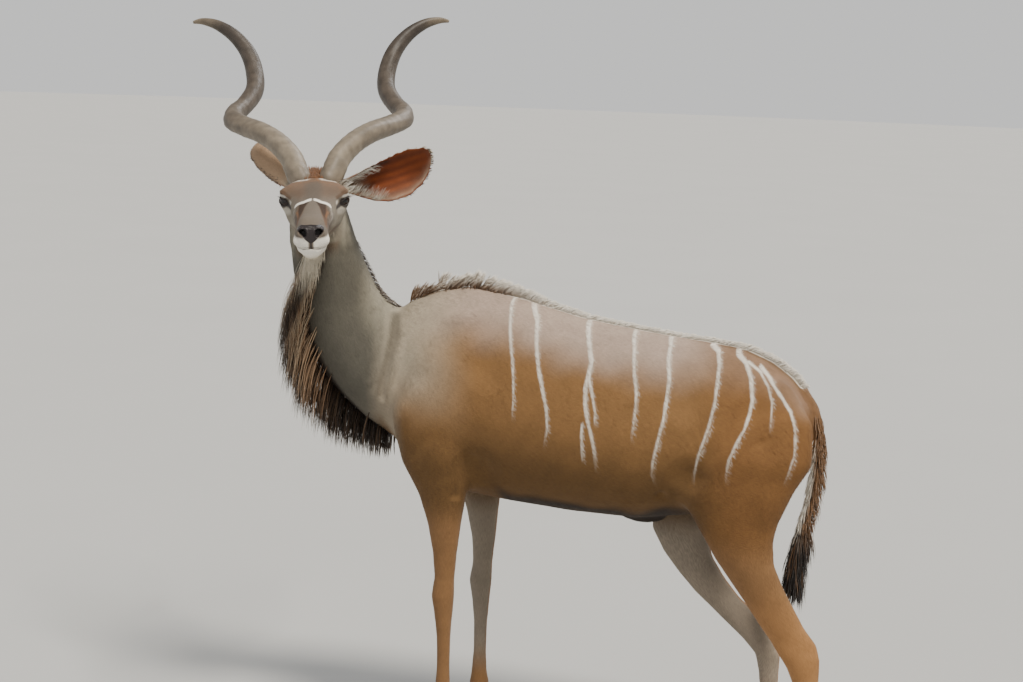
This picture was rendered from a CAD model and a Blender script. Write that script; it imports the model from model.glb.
"""Greater kudu bull, standing with its head turned, at life size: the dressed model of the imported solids."""
import math

import bmesh
import bpy
import numpy as np
from mathutils import Matrix, Vector


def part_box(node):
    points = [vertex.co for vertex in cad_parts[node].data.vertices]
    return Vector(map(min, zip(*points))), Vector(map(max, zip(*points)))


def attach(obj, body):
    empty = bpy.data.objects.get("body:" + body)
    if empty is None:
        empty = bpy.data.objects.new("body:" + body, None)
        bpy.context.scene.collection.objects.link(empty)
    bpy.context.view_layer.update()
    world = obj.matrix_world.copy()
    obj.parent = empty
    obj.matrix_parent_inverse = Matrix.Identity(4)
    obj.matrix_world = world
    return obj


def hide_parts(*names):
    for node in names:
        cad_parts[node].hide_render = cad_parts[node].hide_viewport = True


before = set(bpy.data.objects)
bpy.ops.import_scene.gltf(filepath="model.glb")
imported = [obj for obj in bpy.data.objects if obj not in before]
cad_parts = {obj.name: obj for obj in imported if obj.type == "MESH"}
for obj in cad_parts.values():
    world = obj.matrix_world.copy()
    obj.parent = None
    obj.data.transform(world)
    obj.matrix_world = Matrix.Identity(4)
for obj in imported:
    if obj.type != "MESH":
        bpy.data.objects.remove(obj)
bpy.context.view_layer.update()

bl_info = {
    "name": "Greater Kudu Bull",
    "version": (1, 0, 0),
    "blender": (4, 5, 0),
    "location": "3D View > Sidebar > Kudu",
    "description": "Builds the skin, coat, horns, eyes and hooves of a life-size kudu bull",
    "category": "Object",
}

# Tables in millimetres, in the frame the solids are drawn in
HEAD_ORIGIN = (-709, -200, 1610)
HEAD_FORWARD = (0.374, -0.909, -0.186)
HEAD_ROLL = -0.042
EYE_CENTRE = (101, 71, -48)
EYE_LOOK = (0.79, 0.6, 0.1)

# Neck stations: centre x, y, z, half sizes sideways, towards the nape and the throat, direction of the nape
NECK = np.array([
    (-300, 0, 1010, 118, 170, 180, 0.15, 0, 1),
    (-430, 0, 1020, 124, 180, 180, 0.3, 0, 1),
    (-545, -8, 1058, 116, 168, 158, 0.55, 0, 0.85),
    (-630, -25, 1130, 104, 158, 146, 0.75, 0, 0.66),
    (-680, -50, 1225, 92, 122, 130, 0.95, 0.1, 0.3),
    (-700, -85, 1320, 82, 102, 112, 0.95, 0.3, 0.1),
    (-712, -115, 1405, 76, 90, 100, 0.85, 0.55, 0),
    (-722, -135, 1480, 72, 84, 88, 0.65, 0.8, 0.1),
    (-728, -150, 1550, 64, 74, 74, 0.45, 0.9, 0.3),
], float)

# Trunk outline: x, height of the back, height of the belly
TRUNK = np.array([
    (-548, 1225, 905), (-500, 1264, 820), (-420, 1298, 760), (-330, 1317, 737), (-175, 1296, 726),
    (0, 1256, 719), (175, 1234, 721), (330, 1221, 745), (440, 1210, 785), (520, 1180, 838),
    (578, 1140, 882), (616, 1090, 925),
], float)

# Horn centreline: along the axis, outwards, forwards of the axis, radius, angle of the keel in degrees
HORN_LEAN = 155
HORN = np.array([
    (-66, 20, -12, 19, 100), (-30, 36, -3, 30, 96), (0, 49, 5, 32, 90), (50, 66, 14, 31.5, 78),
    (114, 104, 14, 30.5, 56), (176, 150, 0, 29.5, 32), (239, 198, -28, 28.5, 5), (298, 234, -52, 27.5, -25),
    (360, 240, -76, 26.5, -62), (424, 216, -94, 26, -95), (502, 193, -100, 25.5, -135),
    (577, 196, -92, 24.5, -175), (649, 218, -72, 22.5, -215), (701, 258, -50, 19.5, -250),
    (735, 306, -36, 15.5, -285), (755, 350, -36, 10.5, -315), (764, 380, -45, 5, -340),
], float)

# Ears: base in the head's frame, tip, and the way the cup opens
EARS = {
    "left": ((-38, 58, -44), (-402, -150, 1678), (0.2, -0.95, 0.1)),
    "right": ((-38, -58, -44), (-985, 26, 1648), (0.15, 0.45, -0.75)),
}

# White body stripes on the left side: half width, then x and z from the back downwards
STRIPES = (
    (4.5,
          ((-196, 1320), (-193, 1283), (-182, 1241), (-169, 1192), (-154, 1142),
           (-143, 1092), (-137, 1041), (-135, 975))),
    (6.0,
          ((-146, 1320), (-142, 1287), (-110, 1245), (-95, 1185), (-77, 1124),
           (-59, 1075), (-41, 1025), (-34, 973), (-44, 913))),
    (6.5,
          ((10, 1290), (22, 1245), (46, 1194), (62, 1155), (60, 1123),
           (58, 1090), (64, 1048), (74, 1011), (87, 976), (98, 935), (106, 865))),
    (4.5, ((62, 1128), (65, 1111), (79, 1075), (93, 1033), (97, 990))),
    (4.0, ((62, 1000), (62, 975), (65, 931), (69, 893))),
    (5.0,
          ((140, 1280), (149, 1233), (167, 1190), (182, 1133),
           (196, 1085), (198, 1048), (198, 1010), (196, 955))),
    (5.5,
          ((240, 1260), (246, 1226), (256, 1207), (263, 1169),
           (275, 1127), (275, 1079), (274, 1029), (265, 977), (255, 924), (251, 882), (260, 846))),
    (5.0,
          ((352, 1240), (360, 1211), (382, 1200), (395, 1171),
           (400, 1125), (400, 1076), (393, 1026), (383, 987), (368, 933), (358, 891), (360, 853))),
    (5.5,
          ((420, 1225), (434, 1196), (461, 1176), (482, 1141),
           (493, 1095), (491, 1058), (483, 1021), (466, 982), (453, 944), (448, 905), (448, 871))),
    (3.5, ((464, 1180), (499, 1159), (527, 1127), (543, 1092), (547, 1055), (550, 1012))),
    (4.0,
          ((495, 1171), (529, 1143), (565, 1104), (591, 1071),
           (607, 1038), (613, 1001), (614, 964), (603, 918), (590, 880))),
)

# Every colour of the animal, as sRGB hex, with what it is for
COLOURS = {
    "back": ("#AE9A8B", "Pinkish grey brown along the top of the trunk"),
    "flank": ("#836039", "Golden brown of the side"),
    "low_flank": ("#634828", "Darker brown low on the side"),
    "underline": ("#1E1611", "Near black line along the belly"),
    "shoulder": ("#AEA28E", "Grey beige of the shoulder's top"),
    "haunch": ("#7C562F", "Warm brown of the haunch"),
    "neck": ("#5E5A50", "Grey of the neck"),
    "neck_pale": ("#999281", "Paler grey along the nape side"),
    "leg": ("#7F5D3B", "Tan brown outside of the legs"),
    "inner_leg": ("#857C6F", "Grey inside of the legs"),
    "hock": ("#A97A4B", "Orange tan of the hock"),
    "white": ("#EEE8DC", "White of stripes, chevron, lips and crest"),
    "face": ("#6B6156", "Grey brown of the face"),
    "forehead": ("#635041", "Brown of the forehead"),
    "rust": ("#8E5F38", "Rust between the horns"),
    "dark_face": ("#523A28", "Dark patches beside the bridge of the nose"),
    "nose": ("#2C2627", "Wet black of the nose pad"),
    "fringe_dark": ("#2B1F17", "Dark brown of the throat fringe"),
    "cream": ("#D8CBB0", "Cream outer hair of the fringe"),
    "ear_back": ("#A88C70", "Tan back of the ear"),
    "ear_inside": ("#86431E", "Orange brown inside the ear"),
    "ear_vein": ("#431C10", "Dark red brown streaks inside the ear"),
    "tail": ("#7C5B3C", "Brown of the tail"),
}

# Greatest distance of an ear's skin from the line between its base and its tip
EAR_REACH = 92
# Height above which skin counts as the head's, and below which it is under the hooves' edge
HEAD_BOTTOM = 1300
HOOF_TOP = 64

# Solids that the one skin takes the place of
FLESH = ("trunk", "neck", "head", "foreleg_left", "foreleg_right", "hindleg_left", "hindleg_right",
         "ear_left", "ear_right", "tail")


def unit(v):
    """Vectors scaled to length one."""
    v = np.asarray(v, float)
    return v / np.linalg.norm(v, axis=-1, keepdims=True)


def square(a, along):
    """Part of a that is square to along, as a unit vector."""
    a = np.broadcast_to(np.asarray(a, float), np.shape(along))
    return unit(a - along * np.sum(a * along, axis=-1, keepdims=True))


def smooth(low, high, x):
    """Soft step from 0 at low to 1 at high."""
    t = np.clip((x - low) / (high - low), 0, 1)
    return t * t * (3 - 2 * t)


def rows_at(rows, t):
    """Smooth rows of a table at places t."""
    t = np.atleast_1d(np.asarray(t, float))
    last = len(rows) - 1
    i = np.clip(np.floor(t).astype(int), 0, last - 1)
    u = (t - i)[:, None]
    before, start, end = rows[np.maximum(i - 1, 0)], rows[i], rows[i + 1]
    after = rows[np.minimum(i + 2, last)]
    m0, m1 = (end - before) / 2, (after - start) / 2
    return start + u * (m0 + u * (3 * (end - start) - 2 * m0 - m1 + u * (2 * start - 2 * end + m0 + m1)))


def linear(hex_colour):
    """sRGB hex to linear RGB."""
    parts = [int(hex_colour[i:i + 2], 16) / 255 for i in (1, 3, 5)]
    return tuple(c / 12.92 if c <= 0.04045 else ((c + 0.055) / 1.055) ** 2.4 for c in parts)


# The head's own frame: x to the nose, y to the animal's left, z out of the face
HEAD_X = unit(HEAD_FORWARD)
HEAD_LEVEL = square((0, 0, 1), HEAD_X)
HEAD_SIDE = np.cross(HEAD_LEVEL, HEAD_X)
HEAD_Z = HEAD_LEVEL * math.cos(HEAD_ROLL) + HEAD_SIDE * math.sin(HEAD_ROLL)
HEAD_Y = np.cross(HEAD_Z, HEAD_X)
HEAD_AXES = np.array([HEAD_X, HEAD_Y, HEAD_Z])


def from_head(p):
    """Points of the head's frame, in the tables' frame."""
    return np.asarray(p, float) @ HEAD_AXES + HEAD_ORIGIN


def to_head(p):
    """Points of the tables' frame, in the head's frame."""
    return (p - np.array(HEAD_ORIGIN, float)) @ HEAD_AXES.T


def node_middle(name):
    """Middle of a solid's box, in metres."""
    low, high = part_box(name)
    return np.array((low + high) / 2)


# From the tables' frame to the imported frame, in millimetres
SHIFT = node_middle("eye_left") * 1000 - from_head(EYE_CENTRE)


def in_tables(co):
    """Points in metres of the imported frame, as millimetres of the tables."""
    return co * 1000 - SHIFT


def in_model(p):
    """Points in millimetres of the tables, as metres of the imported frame."""
    return (p + SHIFT) / 1000


# Places along the neck at which it is compared with points
NECK_T = np.linspace(0.03, 7.97, 120)


def neck_frame(t):
    """Centre, direction, nape side, left side and the half sizes of the neck at t."""
    rows = rows_at(NECK, t)
    along = unit(rows_at(NECK, np.asarray(t) + 0.02)[:, :3] - rows_at(NECK, np.asarray(t) - 0.02)[:, :3])
    out = square(rows[:, 6:9], along)
    return rows[:, :3], along, out, np.cross(along, out), rows[:, 3:6]


def neck_twist(t):
    """How far the throat's middle turns with the head, towards the animal's left, in degrees."""
    return np.interp(t, (2, 3, 4, 5, 6, 7.5), (0, 8, 13, 20, 30, 40))


def neck_point(t, degrees, extra=0.0):
    """Point of the neck's surface, with 0 degrees at the nape and 180 at the throat."""
    centre, _, out, across, half = neck_frame(t)
    degrees = degrees + neck_twist(t)
    c, s = np.cos(np.radians(degrees))[:, None], np.sin(np.radians(degrees))[:, None]
    depth = np.where(c > 0, half[:, 1:2], half[:, 2:3])
    return centre + out * c * (depth + extra) + across * s * (half[:, 0:1] + extra)


def neck_place(p):
    """Place along the neck, angle from the nape in degrees, distance from the core's line and its radius."""
    centre, _, out, across, half = neck_frame(NECK_T)
    best = np.zeros(len(p), int)
    for start in range(0, len(p), 20000):
        block = p[start:start + 20000]
        best[start:start + 20000] = ((block[:, None, :] - centre[None]) ** 2).sum(-1).argmin(1)
    away = p - centre[best]
    x, y = (away * out[best]).sum(1), (away * across[best]).sum(1)
    angle = np.arctan2(y, x)
    depth = np.where(np.cos(angle) > 0, half[best, 1], half[best, 2])
    radius = 1 / np.sqrt((np.cos(angle) / depth) ** 2 + (np.sin(angle) / half[best, 0]) ** 2)
    return NECK_T[best], np.degrees(angle), np.hypot(x, y), radius


def link(obj):
    """The object, put into the scene."""
    bpy.context.scene.collection.objects.link(obj)
    return obj


def applied(obj):
    """The object with its modifiers made part of its mesh."""
    graph = bpy.context.evaluated_depsgraph_get()
    mesh = bpy.data.meshes.new_from_object(obj.evaluated_get(graph))
    old = obj.data
    obj.modifiers.clear()
    obj.data = mesh
    bpy.data.meshes.remove(old)
    return obj


def points_of(mesh):
    """Array of a mesh's points."""
    co = np.empty(len(mesh.vertices) * 3, np.float32)
    mesh.vertices.foreach_get("co", co)
    return co.reshape(-1, 3).astype(float)


def normals_of(mesh):
    """Array of a mesh's point normals."""
    out = np.empty(len(mesh.vertices) * 3, np.float32)
    mesh.vertices.foreach_get("normal", out)
    return out.reshape(-1, 3).astype(float)


def set_points(mesh, co):
    """Moves a mesh's points to an array of places."""
    mesh.vertices.foreach_set("co", co.astype(np.float32).ravel())
    mesh.update()


def group_weights(obj, name, weights):
    """Vertex group from an array of weights, in twenty steps."""
    group = obj.vertex_groups.new(name=name)
    steps = np.round(weights * 20).astype(int)
    for step in range(1, 21):
        found = np.nonzero(steps == step)[0].tolist()
        if found:
            group.add(found, step / 20, "REPLACE")
    return group.name


def paint(mesh, name, rgb):
    """Point colour attribute from an array of linear RGB."""
    attribute = mesh.color_attributes.new(name, "FLOAT_COLOR", "POINT")
    rgba = np.ones((len(rgb), 4), np.float32)
    rgba[:, :3] = rgb
    attribute.data.foreach_set("color", rgba.ravel())


def shade_smooth(mesh):
    """Smooth shading on every face."""
    mesh.polygons.foreach_set("use_smooth", np.ones(len(mesh.polygons), bool))


def finish_piece(obj, material, nodes=()):
    """Material, slot and body of a finished piece."""
    obj.data.materials.clear()
    obj.data.materials.append(material)
    shade_smooth(obj.data)
    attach(obj, "root")
    if nodes:
        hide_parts(*nodes)
    return obj


def add_node(tree, kind, settings=None, links=None):
    """One node with its settings and its links, given as input: value, or input: (node, output)."""
    node = tree.nodes.new(kind)
    for key, value in (settings or {}).items():
        setattr(node, key, value)
    for key, value in (links or {}).items():
        if isinstance(value, tuple) and len(value) == 2 and isinstance(value[0], bpy.types.Node):
            tree.links.new(value[0].outputs[value[1]], node.inputs[key])
        else:
            node.inputs[key].default_value = value
    return node


def new_material(name):
    """Material with its node tree and its shader."""
    material = bpy.data.materials.new(name)
    material.use_nodes = True
    tree = material.node_tree
    shader = tree.nodes["Principled BSDF"]
    return material, tree, shader


# Markings

def colour(name):
    """Linear RGB of one of the panel's colours."""
    return np.array(getattr(bpy.context.scene.kudu_colours, name)[:])


def mix(a, b, share):
    """Colour or direction a, with a share of b from 0 to 1."""
    share = np.asarray(share, float)[..., None]
    return a * (1 - share) + b * share


def mottle(p, size, seed=0.0):
    """Slow, seeded variation from -1 to 1 over a real size in millimetres."""
    q = p * (2 * math.pi / size)
    total = np.zeros(len(p))
    for k, (a, b, c) in enumerate(((1, 0.6, 0.3), (-0.5, 1.1, 0.7), (0.4, -0.8, 1.2), (1.3, 0.2, -0.9))):
        total += np.sin(q @ np.array((a, b, c)) + seed * (k + 1) * 1.7 + 2.1 * k)
    return total / 4


def line_distance(p, points):
    """Distance to a line of points and the share of its length at the nearest place."""
    points = np.asarray(points, float)
    best = np.full(len(p), 1e9)
    share = np.zeros(len(p))
    steps = np.linalg.norm(np.diff(points, axis=0), axis=1)
    run = np.concatenate([[0], np.cumsum(steps)]) / steps.sum()
    for i, (a, b) in enumerate(zip(points[:-1], points[1:])):
        t = np.clip(((p - a) @ (b - a)) / ((b - a) @ (b - a)), 0, 1)
        away = np.linalg.norm(p - a - t[:, None] * (b - a), axis=1)
        near = away < best
        best = np.where(near, away, best)
        share = np.where(near, run[i] + t * (run[i + 1] - run[i]), share)
    return best, share


def stripes(p):
    """White of the body's stripes, from 0 to 1."""
    total = np.zeros(len(p))
    wave = mottle(p, 55, 3.0)
    for side, shift in ((-1, 0), (1, 14)):
        on_side = np.where(p[:, 1] * side > -2, 1.0, 0.0)
        near = np.nonzero((on_side > 0) & (p[:, 0] > -260) & (p[:, 0] < 680) & (p[:, 2] > 780))[0]
        q = p[near][:, (0, 2)] - np.array((shift, 0.0))
        for half, line in STRIPES:
            away, share = line_distance(q, line)
            width = half * (0.92 - 0.4 * share)
            edge = 1 - smooth(width - 2, width + 1.5, away + 0.8 * wave[near])
            fade = (1 - smooth(0.78, 1.0, share)) * (0.9 - 0.25 * share)
            total[near] = np.maximum(total[near], edge * fade)
    return total


def ear_share(p, name):
    """Share of the way from an ear's base to its tip, and the distance from that line."""
    seat, tip, _ = EARS[name]
    base, tip = from_head(seat), np.array(tip, float)
    t = ((p - base) @ (tip - base)) / ((tip - base) @ (tip - base))
    away = np.linalg.norm(p - base - np.clip(t, 0, 1)[:, None] * (tip - base), axis=1)
    return t, away


def ear_mask(p):
    """How far a point belongs to an ear, from 0 to 1."""
    mask = np.zeros(len(p))
    for name in EARS:
        t, away = ear_share(p, name)
        mask = np.maximum(mask, smooth(0.04, 0.16, t) * (1 - smooth(88, 92, away)) * (t < 1.12))
    return mask


def trunk_colour(p, n):
    """Grey brown back, golden flank, grey shoulder and dark underline, with the white spine and stripes."""
    x, y, z = p.T
    top, bottom = np.interp(x, TRUNK[:, 0], TRUNK[:, 1]), np.interp(x, TRUNK[:, 0], TRUNK[:, 2])
    h = (z - bottom) / (top - bottom) + 0.03 * mottle(p, 160)
    rgb = mix(colour("low_flank"), colour("flank"), smooth(0.2, 0.56, h))
    rgb = mix(rgb, colour("haunch"), smooth(330, 470, x) * 0.8)
    rgb = mix(rgb, colour("back"), smooth(0.7, 0.93, h) * (1 - 0.75 * smooth(250, 430, x)))
    front = 1 - smooth(-460, -230, x + 90 * (h - 0.5))
    rgb = mix(rgb, colour("shoulder"), front * smooth(0.3, 0.66, h) * 0.92)
    rgb = mix(rgb, colour("shoulder") * 0.8, (1 - smooth(-520, -440, x)) * smooth(0.0, 0.2, h) * 0.8)
    belly = smooth(-215, -170, x) * (1 - smooth(250, 420, x)) * smooth(0.1, -0.25, n[:, 2])
    rgb = mix(rgb, colour("underline"), (1 - smooth(0.05, 0.12, h)) * belly * 0.95)
    spine = (1 - smooth(7, 13, np.abs(y))) * smooth(0.9, 0.97, h) * smooth(-300, -180, x)
    ridge = (1 - smooth(20, 32, np.abs(y))) * smooth(0.86, 0.95, h) * smooth(250, 450, x) * 0.6
    rgb = mix(rgb, colour("low_flank"), ridge)
    rgb = mix(rgb, colour("white"), spine)
    return mix(rgb, colour("white"), stripes(p))


def leg_colour(p, n):
    """Tan outside, grey inside, orange on the hocks and white above the dewclaws."""
    x, y, z = p.T
    fore = x < 100
    side = np.where(y < 0, -1.0, 1.0)
    rgb = mix(colour("leg"), colour("hock"), (1 - smooth(430, 640, z)) * ~fore * 0.75)
    inner = smooth(-0.1, 0.45, -n[:, 1] * side)
    rgb = mix(rgb, colour("inner_leg"), inner * smooth(170, 300, z) * 0.9)
    rgb = mix(rgb, colour("low_flank"), (1 - smooth(80, 125, z)) * 0.75)
    ankle = np.exp(-((z - 118) / 16) ** 2) * smooth(0.15, 0.6, -n[:, 0])
    return mix(rgb, colour("white"), ankle * 0.75)


def neck_colour(p, n):
    """Grey neck, paler beside the nape, with the dark and cream grounds under the mane and the fringe."""
    t, angle, _, _ = neck_place(p)
    turn = np.abs((angle - neck_twist(t) - FRINGE_TURN * smooth(4.2, 6.2, t) + 180) % 360 - 180)
    rgb = mix(colour("neck"), colour("neck_pale"), (1 - smooth(22, 75, turn)) * 0.75)
    rgb = mix(rgb, colour("neck") * 0.86, smooth(95, 150, turn) * 0.8)
    rgb = mix(rgb, colour("fringe_dark"), (1 - smooth(17, 27, 180 - turn)) * smooth(6.4, 5.6, t) * 0.9)
    rgb = mix(rgb, colour("low_flank") * 0.7, (1 - smooth(3, 8, turn)) * 0.7)
    streak = 0.5 + 0.5 * np.sin(turn / 3.1 + 2 * mottle(p, 130, 6))
    pale = smooth(5.6, 7.0, t) * smooth(95, 115, turn) * (1 - smooth(150, 163, turn))
    rgb = mix(rgb, colour("neck_pale") * 1.15, pale * (0.35 + 0.5 * streak))
    rgb = mix(rgb, colour("cream"), smooth(5.4, 6.6, t) * (1 - smooth(8, 15, 180 - turn)) * 0.9)
    jaw = smooth(5.9, 6.4, t) * smooth(128, 140, turn) * (1 - smooth(158, 167, turn))
    rgb = mix(rgb, colour("dark_face"), jaw * 0.85)
    return mix(rgb, colour("shoulder"), (1 - smooth(0.9, 2.4, t)) * 0.65)


def band(q, points, width, soft):
    """Soft band along a line of points, from 0 to 1."""
    away, _ = line_distance(q, points)
    return 1 - smooth(width, width + soft, away)


def face_colour(p, n):
    """The face: forehead, chevron and brow, dark bridge patches, lips, chin, nose pad and lids."""
    q = to_head(p)
    hx, hy, hz = q.T
    m = np.column_stack([hx, np.abs(hy), hz])
    rgb = np.broadcast_to(colour("face"), p.shape).copy()
    crown = smooth(-36, -14, hz) * (1 - smooth(150, 205, hx))
    rgb = mix(rgb, colour("forehead"), crown * 0.85)
    fleck = smooth(0.0, 0.35, mottle(p, 7, 2)) * crown * (1 - smooth(60, 130, hx))
    rgb = mix(rgb, colour("rust") * 1.25, fleck * 0.75)
    poll = (1 - smooth(14, 42, np.abs(hy))) * (1 - smooth(20, 75, hx)) * smooth(-30, -8, hz)
    rgb = mix(rgb, colour("rust"), poll * 0.85)
    cheek = smooth(20, 60, -hz) * (1 - smooth(190, 260, hx))
    rgb = mix(rgb, colour("neck_pale"), cheek * (0.55 + 0.2 * mottle(p, 70, 5)))
    patch = smooth(150, 230, hx) * (1 - smooth(285, 320, hx)) * smooth(30, 42, np.abs(hy))
    rgb = mix(rgb, colour("forehead") * 0.6, np.clip(patch * (0.6 + 0.6 * mottle(p, 15, 4)), 0, 1))
    beside = band(m, ((225, 27, -32), (262, 32, -43), (300, 37, -56)), 7, 8)
    rgb = mix(rgb, colour("rust") * 0.5, beside * 0.75)
    inner = np.interp(hx, (203, 235, 275), (5, 17, 27))
    wedge = smooth(inner - 1, inner + 4, np.abs(hy)) * (1 - smooth(33, 38, np.abs(hy))) * smooth(200, 207, hx)
    rgb = mix(rgb, colour("dark_face") * 0.42, wedge * (1 - smooth(250, 300, hx)) * 0.95)
    rgb = mix(rgb, colour("rust") * 0.9, band(m, ((230, 39, -44), (262, 35, -47)), 2, 4) * 0.5)
    jowl = band(m, ((262, 46, -84), (215, 52, -100), (170, 50, -120)), 9, 16)
    rgb = mix(rgb, colour("dark_face"), jowl * 0.5)
    rgb = mix(rgb, colour("face") * 0.62, band(m, ((105, 0, -6), (176, 0, -14)), 10, 24) * 0.75)
    thick = np.interp(m[:, 1], (4, 26, 46), (5.6, 6.4, 6.8))
    away, _ = line_distance(m, FACE_MARKS[0])
    chevron = 1 - smooth(thick, thick + 2, away)
    chevron = chevron * smooth(1.5, 4, m[:, 1])
    trail = band(m, ((206, 53, -50), (232, 58, -66)), 7, 14) * (0.14 + 0.2 * mottle(p, 14, 8))
    brow = band(m, FACE_MARKS[1], 3.0, 3) * np.interp(hx, (70, 110, 150), (0.95, 0.85, 0.6))
    under = band(m, ((84, 86, -70), (110, 82, -72), (140, 66, -64)), 4, 12) * 0.3
    for share in (chevron, trail, brow, under):
        rgb = mix(rgb, colour("white"), share)
    tear = band(m, ((116, 74, -50), (134, 64, -52), (150, 57, -53)), 4, 3.5)
    rgb = mix(rgb, colour("nose"), tear * 0.9)
    rgb = mix(rgb, colour("dark_face"), band(m, ((112, 82, -22), (140, 64, -28)), 4, 5) * 0.65)
    spots = band(m, ((80, 76, -118), (82, 76, -118)), 6, 6) + band(m, ((50, 80, -104), (52, 80, -104)), 5, 5)
    rgb = mix(rgb, colour("white"), spots * 0.6)
    lip = smooth(300, 322, hx + 0.25 * (hz + 80)) * (1 - smooth(-79, -72, hz))
    lip = lip * smooth(4, 9, np.abs(hy) + 40 * (hz < -104))
    rgb = mix(rgb, colour("white"), lip * 0.95)
    chin = smooth(240, 300, hx) * smooth(104, 110, -hz)
    rgb = mix(rgb, mix(colour("white"), colour("cream") * 0.8, smooth(118, 140, -hz)), chin * 0.9)
    throat = band(m, ((290, 0, -142), (150, 0, -150), (20, 0, -182)), 14, 16)
    rgb = mix(rgb, colour("white"), throat * 0.75)
    goatee = np.interp(hz, (-165, -148, -130, -110), (14, 19, 31, 46))
    sides = smooth(goatee, goatee + 6, np.abs(hy)) * (1 - smooth(-112, -104, hz)) * smooth(70, 160, hx)
    rgb = mix(rgb, colour("dark_face"), sides * 0.85)
    for side in (1, -1):
        away, _ = line_distance(p, horn_line(side)[0][4:44:6])
        ring = smooth(30, 33, away) * (1 - smooth(39, 46, away))
        ring = ring * smooth(-40, 0, hx) * smooth(8, 20, np.abs(hy))
        rgb = mix(rgb, colour("white"), ring * (0.55 + 0.3 * mottle(p, 12, 5)))
    rgb = mix(rgb, colour("nose"), band(m, FACE_FOLDS[0][0], 3.2, 2.0))
    rgb = mix(rgb, colour("nose"), nose_pad(q))
    nostril = 1 - smooth(8, 11, np.linalg.norm((m - (346, 20, -61)) * (0.4, 1, 1.1), axis=1))
    rgb = mix(rgb, colour("nose") * 0.25, nostril * (hx > 325))
    lids = 1 - smooth(21, 25, np.linalg.norm(m - EYE_CENTRE, axis=1))
    rgb = mix(rgb, colour("nose") * 1.2, lids * 0.85)
    return rgb


def nose_pad(q):
    """Share of the wet nose pad, in the head's frame."""
    hx, hy, hz = q.T
    half = np.interp(hz, (-104, -88, -84, -79, -74, -66, -56, -50, -46, -43),
                     (1.6, 2.0, 9, 14, 18, 27, 34, 32, 24, -4))
    return smooth(325, 334, hx) * (1 - smooth(half - 1, half + 1.2, np.abs(hy))) * smooth(-105, -102, hz)


def ear_colour(p, n):
    """Tan back, streaked orange brown inside, and a rim that is pale above and dark below and at the tip."""
    rgb = np.broadcast_to(colour("ear_back"), p.shape).copy()
    for name, (seat, tip, opens) in EARS.items():
        t, away = ear_share(p, name)
        mine = (away < EAR_REACH) & (t > -0.1) & (t < 1.15)
        inside = smooth(-0.15, 0.25, n @ unit(opens)) * mine
        along = unit(np.array(tip) - from_head(seat))
        across = unit(np.cross(along, unit(opens)))
        low = -np.sign(across[2]) * across
        side = (p - from_head(seat)) @ low
        streak = 0.5 + 0.5 * np.sin(side / 3.3 + 0.7 * mottle(p, 90, 7)) * (0.6 + 0.4 * mottle(p, 45, 3))
        inner = mix(colour("ear_inside"), colour("ear_vein"), 0.75 * streak * (1 - 0.5 * smooth(0.5, 1.0, t)))
        inner = mix(inner, colour("neck_pale"), (1 - smooth(0.1, 0.34, t)) * 0.6)
        rgb = mix(rgb, inner, inside)
        rim = np.exp(-((n @ unit(opens) - 0.15) / 0.45) ** 2) * mine * smooth(0.2, 0.4, t)
        rgb = mix(rgb, colour("cream"), rim * smooth(0.1, -0.5, n @ low) * 0.7)
        rgb = mix(rgb, colour("nose"), rim * smooth(-0.1, 0.5, np.maximum(n @ low, n @ along)) * 0.85)
        rgb = mix(rgb, colour("neck_pale"), mine * (1 - smooth(0.0, 0.3, t)) * (1 - inside) * 0.5)
    return rgb


def tail_colour(p, n):
    """Brown outside, white inside and dark at the end."""
    rgb = mix(colour("tail"), colour("white"), smooth(-0.1, 0.5, -n[:, 0]) * 0.85)
    return mix(rgb, colour("fringe_dark"), 1 - smooth(700, 790, p[:, 2]))


def region_shares(p):
    """How far each point belongs to the neck, the head, an ear, a leg or the tail; the trunk has the rest."""
    x, y, z = p.T
    q = to_head(p)
    neck = smooth(-35, 45, (p - NECK_CUT) @ unit((-1, 0, 0.12)))
    head = smooth(-12, 14, (p - HEAD_CUT) @ unit(HEAD_X * 0.87 + HEAD_Z * 0.49))
    head = head * (q[:, 0] > -90) * smooth(-194, -178, q[:, 2])
    ear = ear_mask(p) * (z > 1450)
    leg = (1 - smooth(640, 760, z)) * (np.abs(y) > 35)
    tail = smooth(0.2, 1.0, (x - np.interp(z, (540, 900, 1060, 1110), (560, 625, 605, 570))) / 12)
    tail = tail * (np.abs(y) < 34) * (z > 480) * (z < 1112)
    return neck, head, ear, leg * (z < 760), tail


# Places where the neck begins, and the head
NECK_CUT = np.array((-541, 0, 1080), float)
HEAD_CUT = from_head((-32, 0, -98))


def markings(p, n):
    """Colour of skin and coat at points p with outward normals n, as linear RGB."""
    neck, head, ear, leg, tail = region_shares(p)
    rgb = trunk_colour(p, n)
    for share, paint_of in ((leg, leg_colour), (neck, neck_colour), (head, face_colour), (tail, tail_colour),
                            (ear, ear_colour)):
        found = np.nonzero(share > 0.003)[0]
        if len(found):
            rgb[found] = mix(rgb[found], paint_of(p[found], n[found]), share[found])
    for line in both_sides(BODY_FOLDS[0][0]):
        away, share = line_distance(p, line)
        rgb = rgb * (1 - 0.5 * (1 - smooth(4, 24, away)) * (1 - smooth(0.4, 1, share)))[:, None]
    return np.clip(rgb * (1 + 0.07 * mottle(p, 90, 1) + 0.04 * mottle(p, 23, 4))[:, None], 0, 1)


# Skin

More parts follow.
